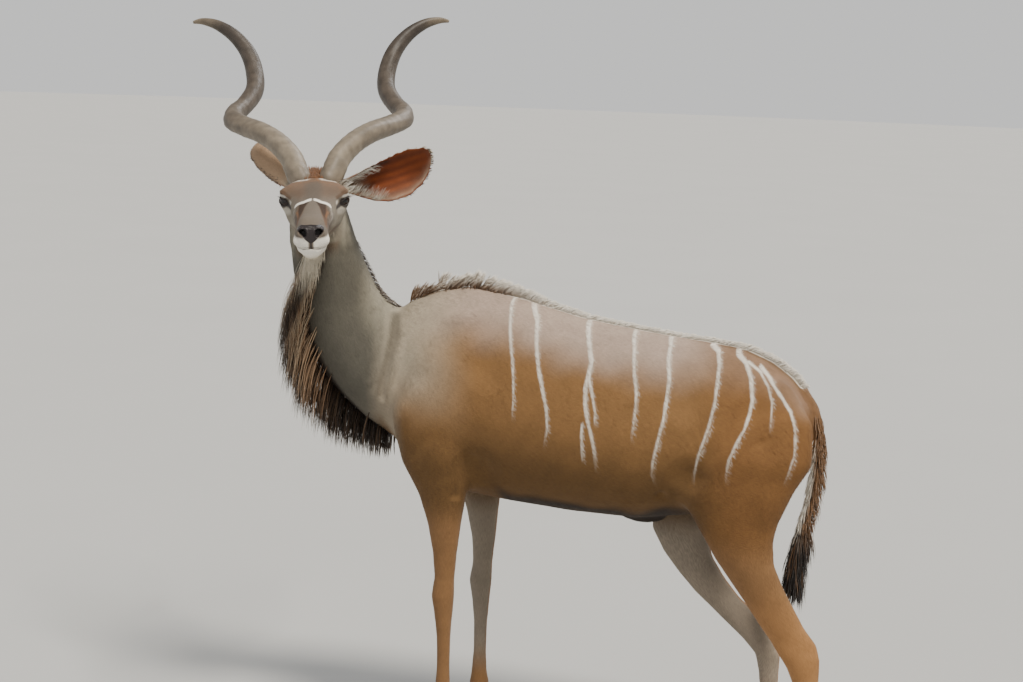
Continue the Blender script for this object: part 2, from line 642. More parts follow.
def pressed(name, p):
    """Points of a node with its locks pressed back into the body, which finer ones take the place of."""
    if name == "trunk":
        back = np.interp(p[:, 0], TRUNK[:, 0], TRUNK[:, 1])
        p[:, 2] = np.where(np.abs(p[:, 1]) < 60, np.minimum(p[:, 2], back), p[:, 2])
    if name == "neck":
        t, _, away, radius = neck_place(p)
        centre = neck_frame(t)[0]
        share = np.minimum(1, radius / np.maximum(away, 1))
        out = (away > radius + 2) & (t > 0.9)
        p[out] = centre[out] + (p[out] - centre[out]) * share[out, None]
    if name == "tail":
        thin = 1 - 0.6 * (1 - smooth(650, 760, p[:, 2]))
        for k, middle in ((0, 610), (1, -9)):
            p[:, k] = middle + (p[:, k] - middle) * np.where(p[:, 2] < 760, thin, 1)
    return p


def joined_flesh():
    """The flesh nodes swollen by a millimetre to close the gaps between them, with the eye sockets filled."""
    whole = bmesh.new()
    for name in FLESH:
        part = bmesh.new()
        part.from_mesh(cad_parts[name].data)
        bmesh.ops.remove_doubles(part, verts=part.verts, dist=1e-5)
        part.normal_update()
        for vert in part.verts:
            vert.co += vert.normal * 0.001
        mesh = bpy.data.meshes.new(name)
        part.to_mesh(mesh)
        part.free()
        set_points(mesh, in_model(pressed(name, in_tables(points_of(mesh)))))
        whole.from_mesh(mesh)
        bpy.data.meshes.remove(mesh)
    for side in (1, -1):
        middle = in_model(from_head(np.array(EYE_CENTRE) * (1, side, 1)))
        bmesh.ops.create_icosphere(whole, subdivisions=3, radius=0.0215, matrix=Matrix.Translation(middle))
    mesh = bpy.data.meshes.new("skin")
    whole.to_mesh(mesh)
    whole.free()
    return link(bpy.data.objects.new("skin", mesh))


def fine_share(p):
    """1 where the skin keeps small features: head, ears, legs and tail; 0 on the trunk and neck."""
    q = to_head(p)
    head = smooth(-60, -20, (p - HEAD_CUT) @ HEAD_X) * smooth(-230, -190, q[:, 2])
    ear = ear_mask(p) * (p[:, 2] > 1450)
    low = 1 - smooth(600, 820, p[:, 2])
    tail = (p[:, 0] > 590) * (np.abs(p[:, 1]) < 36) * 1.0
    return np.clip(np.maximum.reduce([head, ear, low, tail]), 0, 1)


def marked(p):
    """Where the skin needs smaller triangles: stripes, creases and the white marks of the face."""
    lines = [line for points, width, _ in BODY_FOLDS if width < 12 for line in both_sides(points)]
    lines += [from_head(line) for mark in FACE_MARKS for line in both_sides(mark)]
    near = np.min([line_distance(p, line)[0] for line in lines], axis=0)
    return (near < 9) | (stripes(p) > 0.01)


def close_to(mesh, places, reach):
    """Which points of a mesh lie within reach of any of the places."""
    co = points_of(mesh)
    return np.min([np.linalg.norm(co - place, axis=1) for place in places], axis=0) < reach


def subdivided_where(mesh, near):
    """Splits once the edges of the points that near picks."""
    bm = bmesh.new()
    bm.from_mesh(mesh)
    bm.verts.ensure_lookup_table()
    edges = {e for i in np.nonzero(near)[0] for e in bm.verts[i].link_edges}
    bmesh.ops.subdivide_edges(bm, edges=list(edges), cuts=1, smooth=0.0, use_grid_fill=True)
    bmesh.ops.triangulate(bm, faces=[f for f in bm.faces if len(f.verts) > 3])
    bm.to_mesh(mesh)
    bm.free()


# Soft moves that shape the body: centre, reach, then push along the skin's normal; made on both sides
BODY_MOVES = (
    ((-400, -130, 1150), 90, 9), ((-300, -120, 1270), 70, 6), ((-225, -165, 1120), 80, -11),
    ((-430, -140, 930), 80, 9), ((-350, -150, 860), 70, 7), ((-235, -170, 830), 80, -13),
    ((330, -190, 1090), 90, -11), ((300, -150, 1190), 60, -6), ((430, -150, 1170), 60, 5),
    ((560, -110, 1110), 60, 6), ((450, -190, 960), 100, 7), ((560, -160, 830), 80, 6),
    ((350, -185, 880), 70, -13), ((60, -195, 950), 200, 6), ((500, -150, 1060), 60, -5),
)
# Folds: points, half width, depth
BODY_FOLDS = (
    (((-520, -60, 1223), (-510, -98, 1163),
      (-519, -117, 1101), (-535, -122, 1033), (-540, -118, 980)), 11.5, 7),
    (((-555, -47, 1275), (-540, -93, 1198),
      (-540, -116, 1127), (-551, -123, 1063), (-568, -114, 1001)), 14, 3.5),
    (((-572, -90, 1250), (-563, -109, 1185), (-561, -122, 1104), (-582, -118, 1031)), 14, 2.5),
    (((-486, -87, 1188), (-482, -113, 1109), (-491, -122, 1026)), 14, 2.5),
    (((-250, -165, 880), (-264, -160, 820), (-285, -158, 770), (-300, -150, 735)), 16, 10),
    (((262, -165, 835), (285, -168, 798), (313, -165, 765), (340, -160, 735)), 13, 10),
    (((320, -175, 800), (345, -182, 850), (370, -184, 910)), 22, 6),
    (((520, -160, 1010), (555, -150, 930), (575, -140, 850)), 26, 6),
    (((-455, -146, 1010), (-440, -148, 880), (-400, -140, 800)), 20, -4),
)
# The same for the face, in the head's frame
FACE_MOVES = (
    ((104, 84, -22), 20, 5), ((150, 60, -62), 22, -3), ((70, 84, -30), 26, 3),
    ((92, 66, -126), 85, 11), ((165, 54, -98), 60, 7), ((205, 50, -55), 44, 5), ((345, 26, -60), 15, 3.5),
    ((338, 38, -88), 15, 4), ((322, 42, -90), 16, 3), ((344, 16, -112), 12, 3), ((325, 30, -114), 13, 2),
)
# White marks of the face: the chevron, the brow, the side of the bridge and the middle of the nose pad
FACE_MARKS = (
    ((196, 4, -18), (204, 21, -26), (196, 42, -36)),
    ((70, 86, -33), (95, 90, -29), (125, 77, -32), (148, 60, -41)),
    ((214, 18, -25), (262, 31, -42), (330, 34, -52)),
    ((345, 0, -45), (357, 0, -90)),
)
# Creases of the face: the mouth, the groove of the lip, the tear duct and the brow
FACE_FOLDS = (
    (((262, 50, -93), (290, 49, -98), (315, 48, -101),
      (336, 43, -103), (350, 29, -104), (357, 12, -103), (358, 0, -102)), 2.6, 5),
    (((362, 0, -84), (360, 0, -92), (358, 0, -102)), 1.9, 4),
    (((124, 66, -56), (140, 58, -62), (158, 52, -70)), 3.0, 2.5),
    (((80, 90, -22), (104, 90, -20), (130, 74, -30)), 4.0, -1.5),
)


# Places of the face with the finest skin: eye, nostril, mouth, lip and corner of the mouth; reaches in metres
FINE_PLACES = (EYE_CENTRE, (348, 22, -58), (340, 40, -100), (355, 12, -100), (300, 48, -99))
FINE_REACHES = (0.036, 0.028, 0.016)


def both_sides(points):
    """Points and their mirror image on the other side."""
    points = np.array(points, float)
    return points, points * (1, -1, 1)


def pushed(p, n, centre, reach, push):
    """Points pushed along their normals, most at the centre and not at all past its reach."""
    away = np.linalg.norm(p - centre, axis=1) / reach
    return p + n * (push * np.where(away < 1, (1 - np.minimum(away, 1) ** 2) ** 2, 0))[:, None]


def folded(p, n, points, width, depth):
    """Points pressed in along a line; shallow or wide folds fade out at their ends."""
    away, share = line_distance(p, points)
    ends = smooth(0, 0.12, share) * (1 - smooth(0.88, 1, share)) if depth < 4.5 or width > 5 else 1.0
    return p - n * (depth * np.exp(-(away / width) ** 2) * ends)[:, None]


def lid_ratio(a, b):
    """How far out a place lies from the middle of the eye's opening, with the lids at 1."""
    half = bpy.context.scene.kudu_sizes.eye_opening * 500
    return np.sqrt((a / half) ** 2 + (b / (half * np.where(b > 0, 0.4, 0.54))) ** 2)


def eye_opened(p, side):
    """Skin opened over an eye, with its rim lying on the eyeball."""
    size = bpy.context.scene.kudu_sizes
    middle = np.array(EYE_CENTRE) * (1, side, 1)
    look = unit(np.array(EYE_LOOK) * (1, side, 1))
    along = square((1, 0, -0.12), look)
    up = square((0, 0, 1), look)
    q = p - middle
    distance = np.linalg.norm(q, axis=1)
    front = q @ look
    a, b = q @ along, q @ up
    across = lid_ratio(a, b)
    ball = size.eye_diameter * 500
    rim = np.interp(across, (0, 0.9, 1.02, 1.25, 1.7),
                    (ball - 5, ball - 4, ball + 0.9, ball + 2.6, ball + 3.4))
    weight = np.where((front > 2) & (distance < 60), 1 - smooth(1.45, 2.2, across), 0)
    target = middle + q / np.maximum(distance, 1)[:, None] * rim[:, None]
    return p + (target - p) * weight[:, None]


def nostril_opened(p, side):
    """Comma-shaped nostril, pushed in from the skin."""
    middle = np.array((350, 20 * side, -61), float)
    q = (p - middle) * (1, side, 1)
    near = np.linalg.norm(q, axis=1) < 26
    u = q[:, 1] * 0.86 + q[:, 2] * 0.5
    v = -q[:, 1] * 0.5 + q[:, 2] * 0.86 + 0.03 * u * u
    across = np.sqrt((u / 11.5) ** 2 + (v / 9.5) ** 2)
    depth = np.where(near & (p[:, 0] > 322), 14 * (1 - smooth(0.55, 1.05, across)), 0)
    rim = np.where(near & (p[:, 0] > 322), 1.6 * np.exp(-((across - 1.25) / 0.25) ** 2), 0)
    way = unit((-0.82, -0.25 * side, -0.3))
    return p + depth[:, None] * way - rim[:, None] * way


def sculpted(mesh):
    """The brush moves of the body and the face, on the mesh's own points."""
    mesh.update()
    p, n = in_tables(points_of(mesh)), normals_of(mesh)
    for centre, reach, push in BODY_MOVES:
        for place in both_sides(centre):
            p = pushed(p, n, place, reach, push)
    for points, width, depth in BODY_FOLDS:
        for line in both_sides(points):
            p = folded(p, n, line, width, depth)
    found = np.nonzero((p[:, 2] > 1330) & (np.linalg.norm(p - from_head((150, 0, -80)), axis=1) < 330))[0]
    q, m = to_head(p[found]), n[found] @ HEAD_AXES.T
    for centre, reach, push in FACE_MOVES:
        for place in both_sides(centre):
            q = pushed(q, m, place, reach, push)
    for points, width, depth in FACE_FOLDS:
        for line in both_sides(points):
            q = folded(q, m, line, width, depth)
    for side in (1, -1):
        q = nostril_opened(q, side)
        q = eye_opened(q, side)
    p[found] = from_head(q)
    set_points(mesh, in_model(p))


def coat_depth(p):
    """How far the skin lies inside the solids, in millimetres."""
    q = to_head(p)
    face = smooth(-12, 14, (p - HEAD_CUT) @ HEAD_X) * smooth(-230, -190, q[:, 2])
    bare = smooth(290, 310, q[:, 0]) * (p[:, 2] > HEAD_BOTTOM)
    return 3.2 - 1.9 * np.maximum(face, 1 - smooth(120, 420, p[:, 2])) - 1.0 * bare


def skin_object():
    """The skin: joined, remeshed, smoothed, made finer where it is marked, sculpted and moved in."""
    size = bpy.context.scene.kudu_sizes
    skin = joined_flesh()
    remesh = skin.modifiers.new("Close", "REMESH")
    remesh.mode, remesh.voxel_size, remesh.adaptivity = "VOXEL", size.skin_grain, 0.0
    applied(skin)
    p = in_tables(points_of(skin.data))
    fine = fine_share(p)
    for name, weights, rounds in (("Broad", 1 - fine, size.body_smoothing), ("Fine", np.ones(len(p)), 9)):
        soften = skin.modifiers.new(name, "SMOOTH")
        soften.factor, soften.iterations = 0.5, rounds
        soften.vertex_group = group_weights(skin, name, weights)
    applied(skin)
    skin.vertex_groups.clear()
    p = in_tables(points_of(skin.data))
    q = to_head(p)
    subdivided_where(skin.data, marked(p) | ((q[:, 0] > 70) & (q[:, 2] > -170) & (np.abs(q[:, 1]) < 100)))
    places = [in_model(from_head(place)) for point in FINE_PLACES for place in both_sides(point)]
    for reach in FINE_REACHES:
        subdivided_where(skin.data, close_to(skin.data, places, reach))
    sculpted(skin.data)
    skin.data.update()
    p, n = in_tables(points_of(skin.data)), normals_of(skin.data)
    set_points(skin.data, in_model(p - n * coat_depth(p)[:, None]))
    return skin


# Strands of the combed grain for each unit of the unwrap: about 12 mm long and 0.8 mm wide on the trunk
COMB_ALONG = 170.0
COMB_ACROSS = 3600.0


def skin_material():
    """Short-haired hide: dull, with a fine combed grain and a slight sheen; wet and shiny on the nose pad."""
    material, tree, shader = new_material("Short haired hide")
    coat = add_node(tree, "ShaderNodeVertexColor", {"layer_name": "Coat"})
    wet = add_node(tree, "ShaderNodeVertexColor", {"layer_name": "Wet"})
    comb = add_node(tree, "ShaderNodeUVMap", {"uv_map": "Comb"})
    lay = add_node(tree, "ShaderNodeMapping",
                  links={"Vector": (comb, "UV"), "Scale": (COMB_ALONG, COMB_ACROSS, 1.0)})
    grain = add_node(tree, "ShaderNodeTexNoise",
                    links={"Vector": (lay, "Vector"), "Scale": 1.0, "Detail": 4.0})
    shade = add_node(tree, "ShaderNodeMapRange",
                    links={"Value": (grain, "Fac"), "From Min": 0.3,
                           "From Max": 0.7,
                                                        "To Min": 0.74, "To Max": 1.2})
    tone = add_node(tree, "ShaderNodeMix", {"data_type": "RGBA", "blend_type": "MULTIPLY"}, {0: 1.0})
    tree.links.new(coat.outputs["Color"], tone.inputs[6])
    tree.links.new(shade.outputs["Result"], tone.inputs[7])
    tree.links.new(tone.outputs[2], shader.inputs["Base Color"])
    rough = add_node(tree, "ShaderNodeMapRange",
                    links={"Value": (wet, "Color"), "To Min": 0.82, "To Max": 0.26})
    tree.links.new(rough.outputs["Result"], shader.inputs["Roughness"])
    bump = add_node(tree, "ShaderNodeBump",
                   links={"Height": (grain, "Fac"), "Strength": 0.5, "Distance": 0.0012})
    tree.links.new(bump.outputs["Normal"], shader.inputs["Normal"])
    shader.inputs["Specular IOR Level"].default_value = 0.3
    shader.inputs["Sheen Weight"].default_value = 0.05
    return material


class KUDU_OT_skin(bpy.types.Operator):
    """Build the one skin of trunk, neck, head, ears, legs and tail, with its folds and markings"""
    bl_idname = "kudu.skin"
    bl_label = "Build Skin"

    def execute(self, context):
        skin = skin_object()
        p, n = in_tables(points_of(skin.data)), normals_of(skin.data)
        corners = np.empty(len(skin.data.loops), np.int32)
        skin.data.loops.foreach_get("vertex_index", corners)
        comb = skin.data.uv_layers.new(name="Comb")
        comb.data.foreach_set("uv", chart(p, n)[corners].astype(np.float32).ravel())
        paint(skin.data, "Coat", markings(p, n))
        wet = nose_pad(to_head(p)) * (p[:, 2] > HEAD_BOTTOM)
        paint(skin.data, "Wet", np.repeat(wet[:, None], 3, axis=1))
        finish_piece(skin, skin_material(), FLESH)
        return {"FINISHED"}


# Coat

def lie(p, n):
    """Direction in which the coat lies, along the skin."""
    neck, head, ear, leg, tail = region_shares(p)
    _, y, z = p.T
    side = smooth(4, 60, np.abs(y))
    flow = np.column_stack([np.ones(len(p)), 0.12 * np.sign(y), -0.95 * side - 0.3 * smooth(900, 760, z)])
    t = neck_place(p)[0]
    along = neck_frame(t)[1]
    flow = mix(flow, -along + np.array((0.15, 0, -0.25)), neck)
    flow = mix(flow, -HEAD_X * 0.95 - np.array((0, 0, 0.12)), head)
    flow = mix(flow, np.array((0.12, 0.0, -1.0)), np.maximum(leg, tail))
    for name, (seat, tip, _) in EARS.items():
        _, away = ear_share(p, name)
        flow = mix(flow, unit(np.array(tip) - from_head(seat)), ear * (away < EAR_REACH))
    flow = flow + 0.10 * np.column_stack([mottle(p, 120, k) for k in (11, 12, 13)])
    flat = flow - n * np.sum(flow * n, axis=1, keepdims=True)
    return flat / np.maximum(np.linalg.norm(flat, axis=1, keepdims=True), 1e-6)


# Middle lines of the legs in x and y, which the unwrap goes round
LEG_AXES = {"fore_left": (-345, -100), "fore_right": (-300, 100),
            "hind_left": (640, -100), "hind_right": (470, 100)}


def chart(p, n):
    """Place of each point on an unwrap of the skin: one strip for each region, round its own axis."""
    neck, head, ear, leg, tail = region_shares(p)
    x, y, z = p.T

    def turn(a, b):
        """Angle round an axis, from 0 to 1."""
        return np.arctan2(a, b) / (2 * math.pi) + 0.5

    def strip(u, v, left, low, width, height):
        """Places u and v, from 0 to 1, in a rectangle of the unwrap."""
        return np.column_stack([left + width * np.clip(u, 0, 1), low + height * np.clip(v, 0, 1)])

    uv = strip((x + 600) / 1240, turn(y, z - 1000), 0.01, 0.01, 0.62, 0.46)
    t, angle, _, _ = neck_place(p)
    places = ((neck, strip(t / 8, angle / 360 + 0.5, 0.01, 0.49, 0.4, 0.26)),)
    q = to_head(p)
    places += ((head, strip((q[:, 0] + 90) / 460, turn(q[:, 1], q[:, 2] + 80), 0.43, 0.49, 0.36, 0.26)),)
    places += ((tail, strip((z - 460) / 660, turn(y, x - 625), 0.65, 0.40, 0.34, 0.07)),)
    for k, (name, (ax, ay)) in enumerate(LEG_AXES.items()):
        mine = leg * (np.sign(y) == np.sign(ay)) * ((x < 100) == name.startswith("fore"))
        lean = np.interp(z, (0, 400, 560, 760), (0, 30, -90, -190)) if name.startswith("hind") else 0
        places += ((mine, strip(z / 780, turn(y - ay, x - ax - lean), 0.65, 0.01 + 0.095 * k, 0.34, 0.085)),)
    for k, (name, (seat, tip, opens)) in enumerate(EARS.items()):
        share, away = ear_share(p, name)
        inside = n @ unit(opens) > 0.05
        across = np.cross(unit(np.array(tip) - from_head(seat)), unit(opens))
        side = (p - from_head(seat)) @ across / 190 + 0.5
        for part in (0, 1):
            mine = ear * (away < EAR_REACH) * (inside == bool(part))
            places += ((mine, strip(share, side, 0.01 + 0.245 * (2 * k + part), 0.77, 0.235, 0.2)),)
    for share, there in places:
        uv = np.where(share[:, None] > 0.5, there, uv)
    return uv


def mesh_from(name, co, faces, rgb, uv):
    """Joined mesh of many like things from arrays of points, triangles, point colours and point UVs."""
    mesh = bpy.data.meshes.new(name)
    mesh.vertices.add(len(co))
    mesh.vertices.foreach_set("co", co.astype(np.float32).ravel())
    mesh.loops.add(faces.size)
    mesh.loops.foreach_set("vertex_index", faces.astype(np.int32).ravel())
    mesh.polygons.add(len(faces))
    mesh.polygons.foreach_set("loop_start", np.arange(0, faces.size, 3, dtype=np.int32))
    mesh.polygons.foreach_set("loop_total", np.full(len(faces), 3, np.int32))
    layer = mesh.uv_layers.new(name="OFBake")
    layer.data.foreach_set("uv", uv[faces.ravel()].astype(np.float32).ravel())
    mesh.update()
    mesh.validate()
    paint(mesh, "Coat", rgb)
    return link(bpy.data.objects.new(name, mesh))


def strands(roots, start, end, flat, length, width, thickness, rings):
    """Points and triangles of tapered, bent strands of three sides, each a closed body ending in a tip."""
    count = len(roots)
    steps = np.linspace(0, 1, rings + 1)
    points = []
    for i, t in enumerate(steps):
        at = roots + (start * (t - t * t / 2) + end * (t * t / 2)) * length[:, None]
        if i == rings:
            points.append(at[:, None, :])
            break
        along = unit(start * (1 - t) + end * t)
        side = unit(np.cross(flat, along) + 1e-9)
        up = np.cross(along, side)
        size = (1 - 0.55 * t ** 2) * (0.75 + 0.25 * min(1, 4 * t))
        wide, high = side * (width * size)[:, None], up * (thickness * size)[:, None]
        points.append(np.stack([at - wide, at + wide, at + high], axis=1))
    co = np.concatenate(points, axis=1)
    faces = [(0, 1, 2)]
    for i in range(rings - 1):
        for a, b in ((0, 1), (1, 2), (2, 0)):
            a0, b0, a1, b1 = 3 * i + a, 3 * i + b, 3 * i + 3 + a, 3 * i + 3 + b
            faces += [(b0, a0, a1), (b0, a1, b1)]
    tip = 3 * rings
    last = 3 * (rings - 1)
    faces += [(last + 1, last, tip), (last + 2, last + 1, tip), (last, last + 2, tip)]
    stride = co.shape[1]
    faces = np.array(faces)[None] + (np.arange(count) * stride)[:, None, None]
    share = np.concatenate([np.repeat(steps[:-1], 3), [1.0]])
    return co.reshape(-1, 3), faces.reshape(-1, 3)[:, ::-1], np.tile(share, (count, 1)), stride


def hair_piece(name, roots, n, start, end, length, width, thickness,
               root_rgb, tip_rgb, rings, material, flat=None):
    """One piece of the coat: strands with their colours, and their small patches on the unwrap."""
    flat = n if flat is None else flat
    co, faces, share, stride = strands(roots, start, end, flat, length, width, thickness, rings)
    rgb = mix(root_rgb[:, None, :], tip_rgb[:, None, :], share ** 1.3).reshape(-1, 3)
    uv = chart(roots, n)
    corner = np.tile(np.array((-0.5, 0.5, 0.0)), rings + 1)[:stride]
    patch = np.stack([share - 0.5, np.broadcast_to(corner, share.shape)], axis=-1) * 0.003
    uv = (uv[:, None, :] + patch).reshape(-1, 2)
    obj = finish_piece(mesh_from(name, in_model(co), faces, np.clip(rgb, 0, 1), uv), material)
    if rings == 1:
        obj.data.polygons.foreach_set("use_smooth", np.zeros(len(faces), bool))
    return obj


def hair_material(name, rough, sheen):
    """Hair: keratin strands, dull along the coat with a faint sheen; the colour is the markings' own."""
    found = bpy.data.materials.get(name)
    if found:
        return found
    material, tree, shader = new_material(name)
    coat = add_node(tree, "ShaderNodeVertexColor", {"layer_name": "Coat"})
    place = add_node(tree, "ShaderNodeTexCoord")
    grain = add_node(tree, "ShaderNodeTexNoise",
                    links={"Vector": (place, "Object"), "Scale": 700.0, "Detail": 2.0})
    shade = add_node(tree, "ShaderNodeMapRange",
                    links={"Value": (grain, "Fac"), "To Min": 0.86, "To Max": 1.12})
    tone = add_node(tree, "ShaderNodeMix", {"data_type": "RGBA", "blend_type": "MULTIPLY"}, {0: 1.0})
    tree.links.new(coat.outputs["Color"], tone.inputs[6])
    tree.links.new(shade.outputs["Result"], tone.inputs[7])
    tree.links.new(tone.outputs[2], shader.inputs["Base Color"])
    shader.inputs["Roughness"].default_value = rough
    shader.inputs["Specular IOR Level"].default_value = 0.3
    shader.inputs["Sheen Weight"].default_value = sheen
    return material


def surface_samples(mesh, density, rng):
    """Seeded places on a mesh, as points and normals; density gives places per square millimetre."""
    mesh.calc_loop_triangles()
    tri = np.empty(len(mesh.loop_triangles) * 3, np.int32)
    mesh.loop_triangles.foreach_get("vertices", tri)
    tri = tri.reshape(-1, 3)
    p, n = in_tables(points_of(mesh)), normals_of(mesh)
    corner = p[tri]
    area = 0.5 * np.linalg.norm(np.cross(corner[:, 1] - corner[:, 0], corner[:, 2] - corner[:, 0]), axis=1)
    wanted = area * density(p)[tri].mean(1)
    count = np.floor(wanted + rng.random(len(wanted))).astype(int)
    pick = np.repeat(np.arange(len(tri)), count)
    r = np.sqrt(rng.random(len(pick)))
    s = rng.random(len(pick))
    weights = np.stack([1 - r, r * (1 - s), r * s], axis=1)[:, :, None]
    return (p[tri[pick]] * weights).sum(1), unit((n[tri[pick]] * weights).sum(1))


def tuft_density(p):
    """Short tufts per square millimetre: closest on the face, ears and feet."""
    size = bpy.context.scene.kudu_sizes
    neck, head, ear, leg, _ = region_shares(p)
    q = to_head(p)
    bare = np.maximum(nose_pad(q) * (p[:, 2] > HEAD_BOTTOM), p[:, 2] < HOOF_TOP)
    for side in (1, -1):
        near = np.linalg.norm(q - np.array(EYE_CENTRE) * (1, side, 1), axis=1)
        mouth, _ = line_distance(q, np.array(FACE_FOLDS[0][0]) * (1, side, 1))
        bare = np.maximum(bare, (near < 22.5) | (mouth < 3.5))
    return size.tuft_density * (1 + 0.35 * neck + 1.3 * head + 0.7 * ear + 0.5 * leg) * (1 - bare)


# Pieces of the short coat in the order of their regions: trunk, legs, neck, head and ears
SHORT_COATS = (("coat_trunk", "tawny_coat"), ("coat_legs", "tawny_coat"), ("coat_neck", "grey_coat"),
               ("coat_head", "grey_coat"), ("coat_ears", "ear_skin"))
TUFT_TRIANGLES = 4
PIECE_LIMIT = 195000


def short_coat():
    """The short tufts over the whole skin, in pieces under the limit on triangles."""
    size = bpy.context.scene.kudu_sizes
    rng = np.random.default_rng(7)
    skin = bpy.data.objects["skin"]
    p, n = surface_samples(skin.data, tuft_density, rng)
    neck, head, ear, leg, _ = region_shares(p)
    way = lie(p, n)
    small = np.clip(head * 0.62 + ear * 0.35 + leg * 0.35, 0, 0.62)
    feet = 1 - smooth(60, 240, p[:, 2])
    snout = smooth(200, 300, to_head(p)[:, 0]) * head
    length = size.tuft_length * 1000 * (1 - small) * (1 - 0.35 * feet) * (1 - 0.45 * snout)
    length = length * rng.uniform(0.7, 1.25, len(p))
    width = size.tuft_width * 500 * (1 - 0.55 * small) * rng.uniform(0.7, 1.2, len(p))
    lift = rng.uniform(0.03, 0.1, len(p))
    loose = rng.normal(size=p.shape)
    loose = 0.07 * (loose - n * np.sum(loose * n, axis=1, keepdims=True))
    start = unit(way + n * (lift + 0.07)[:, None] + loose)
    end = unit(way + n * (lift * 0.4)[:, None] + loose)
    rgb = markings(p, n) * rng.uniform(0.76, 1.2, (len(p), 1))
    roots = p - n * 0.5
    material = hair_material("Short guard hair", 0.75, 0.06)
    region = np.zeros(len(p), int)
    for k, share in enumerate((leg, neck, head, ear), 1):
        region[share > 0.5] = k
    for k, (name, slot) in enumerate(SHORT_COATS):
        mine = np.nonzero(region == k)[0]
        parts = max(1, math.ceil(len(mine) * TUFT_TRIANGLES / PIECE_LIMIT))
        order = mine[np.argsort(p[mine, 0], kind="stable")]
        for i, pick in enumerate(np.array_split(order, parts)):
            label = name if parts == 1 else f"{name}_{i + 1}"
            hair_piece(label, roots[pick], n[pick], start[pick], end[pick], length[pick], width[pick],
                       width[pick] * 0.3, rgb[pick] * 0.94, rgb[pick] * 1.05, 1, material)


class KUDU_OT_coat(bpy.types.Operator):
    """Lay the short tufts of the coat over the skin, along the lie of the hair"""
    bl_idname = "kudu.coat"
    bl_label = "Lay Short Coat"

    def execute(self, context):
        short_coat()
        return {"FINISHED"}


def locks(name, roots, n, start, end, length, width, root_rgb, tip_rgb,
          rings=5, thickness=0.55, flat=None):
    """A piece of long hair, with its locks flatter than they are wide."""
    material = hair_material("Long hair", 0.55, 0.1)
    return hair_piece(name, roots, n, unit(start), unit(end), length, width, width * thickness,
                      root_rgb, tip_rgb, rings, material, flat)


# Degrees by which the top of the fringe stands nearer to the camera's side than the middle of the throat
FRINGE_TURN = 32.0


def throat_fringe(rng):
    """Long hair that hangs from the throat: near black inside, cream outside, paler under the chin."""
    size = bpy.context.scene.kudu_sizes
    count = size.fringe_hairs
    t = 1.55 + 6.0 * rng.random(count) ** 0.9
    spread = rng.normal(size=count)
    turned = smooth(4.2, 6.2, t)
    degrees = 180 + (11 + 3 * smooth(2, 4, t) - 8 * turned) * spread + FRINGE_TURN * turned
    roots = neck_point(t, degrees, -4)
    _, _, out, across, _ = neck_frame(t)
    away = -out * np.cos(np.radians(degrees - 180))[:, None] + across * np.sin(np.radians(degrees))[:, None]
    full = np.interp(t, (1.5, 2.0, 2.7, 3.4, 4.2, 5.0, 5.8, 7.6),
                     (0.38, 0.6, 0.82, 1.0, 1.0, 0.8, 0.5, 0.28))
    length = size.fringe_length * 1000 * full * rng.uniform(0.65, 1.15, count)
    down = np.array((0.03, 0.0, -1.0))
    start = unit(away) * 0.7 + down * 0.85 + 0.08 * rng.normal(size=(count, 3))
    end = down + 0.1 * rng.normal(size=(count, 3))
    outer = smooth(0.75, 1.5, np.abs(spread) + 0.25 * rng.normal(size=count)) * smooth(2.4, 3.6, t)
    high = smooth(5.5, 6.3, t)
    thick = rng.uniform(0.7, 1.25, count) * np.interp(t, (1.5, 3.6, 5), (2.2, 1.6, 1.0))
    dark = mix(colour("fringe_dark"), colour("low_flank"), 0.6 * rng.random(count) ** 2)
    warm = mix(colour("rust"), colour("cream"), 0.15 + 0.6 * rng.random(count) * smooth(2.6, 4.6, t))
    rgb = mix(mix(dark, warm, outer * 0.8), mix(colour("cream"), colour("white"), 0.4), high)
    return locks("throat_fringe", roots, unit(away), start, end, length, thick, rgb * 0.85, rgb * 1.1,
                 5)


def chin_hair(rng):
    """Cream hair under the chin and the jaw."""
    count = 700
    x = rng.uniform(20, 330, count)
    y = rng.normal(size=count) * 9
    z = np.interp(x, (20, 150, 258, 315, 335), (-176, -145, -129, -139, -134))
    q = np.column_stack([x, y, z + 1.5])
    roots = from_head(q)
    n = np.broadcast_to(-HEAD_Z, roots.shape)
    length = np.interp(x, (20, 120, 250, 330), (46, 40, 30, 12)) * rng.uniform(0.6, 1.2, count)
    start = -HEAD_Z * 0.5 - HEAD_X * 0.8 + 0.15 * rng.normal(size=(count, 3))
    end = np.array((0, 0, -0.8)) - HEAD_X * 0.6 + 0.12 * rng.normal(size=(count, 3))
    rgb = np.broadcast_to(colour("cream"), roots.shape) * rng.uniform(0.8, 1.1, (count, 1))
    return locks("chin_hair", roots, n, start, end, length,
                 rng.uniform(0.5, 0.9, count), rgb * 0.9, rgb, 3)


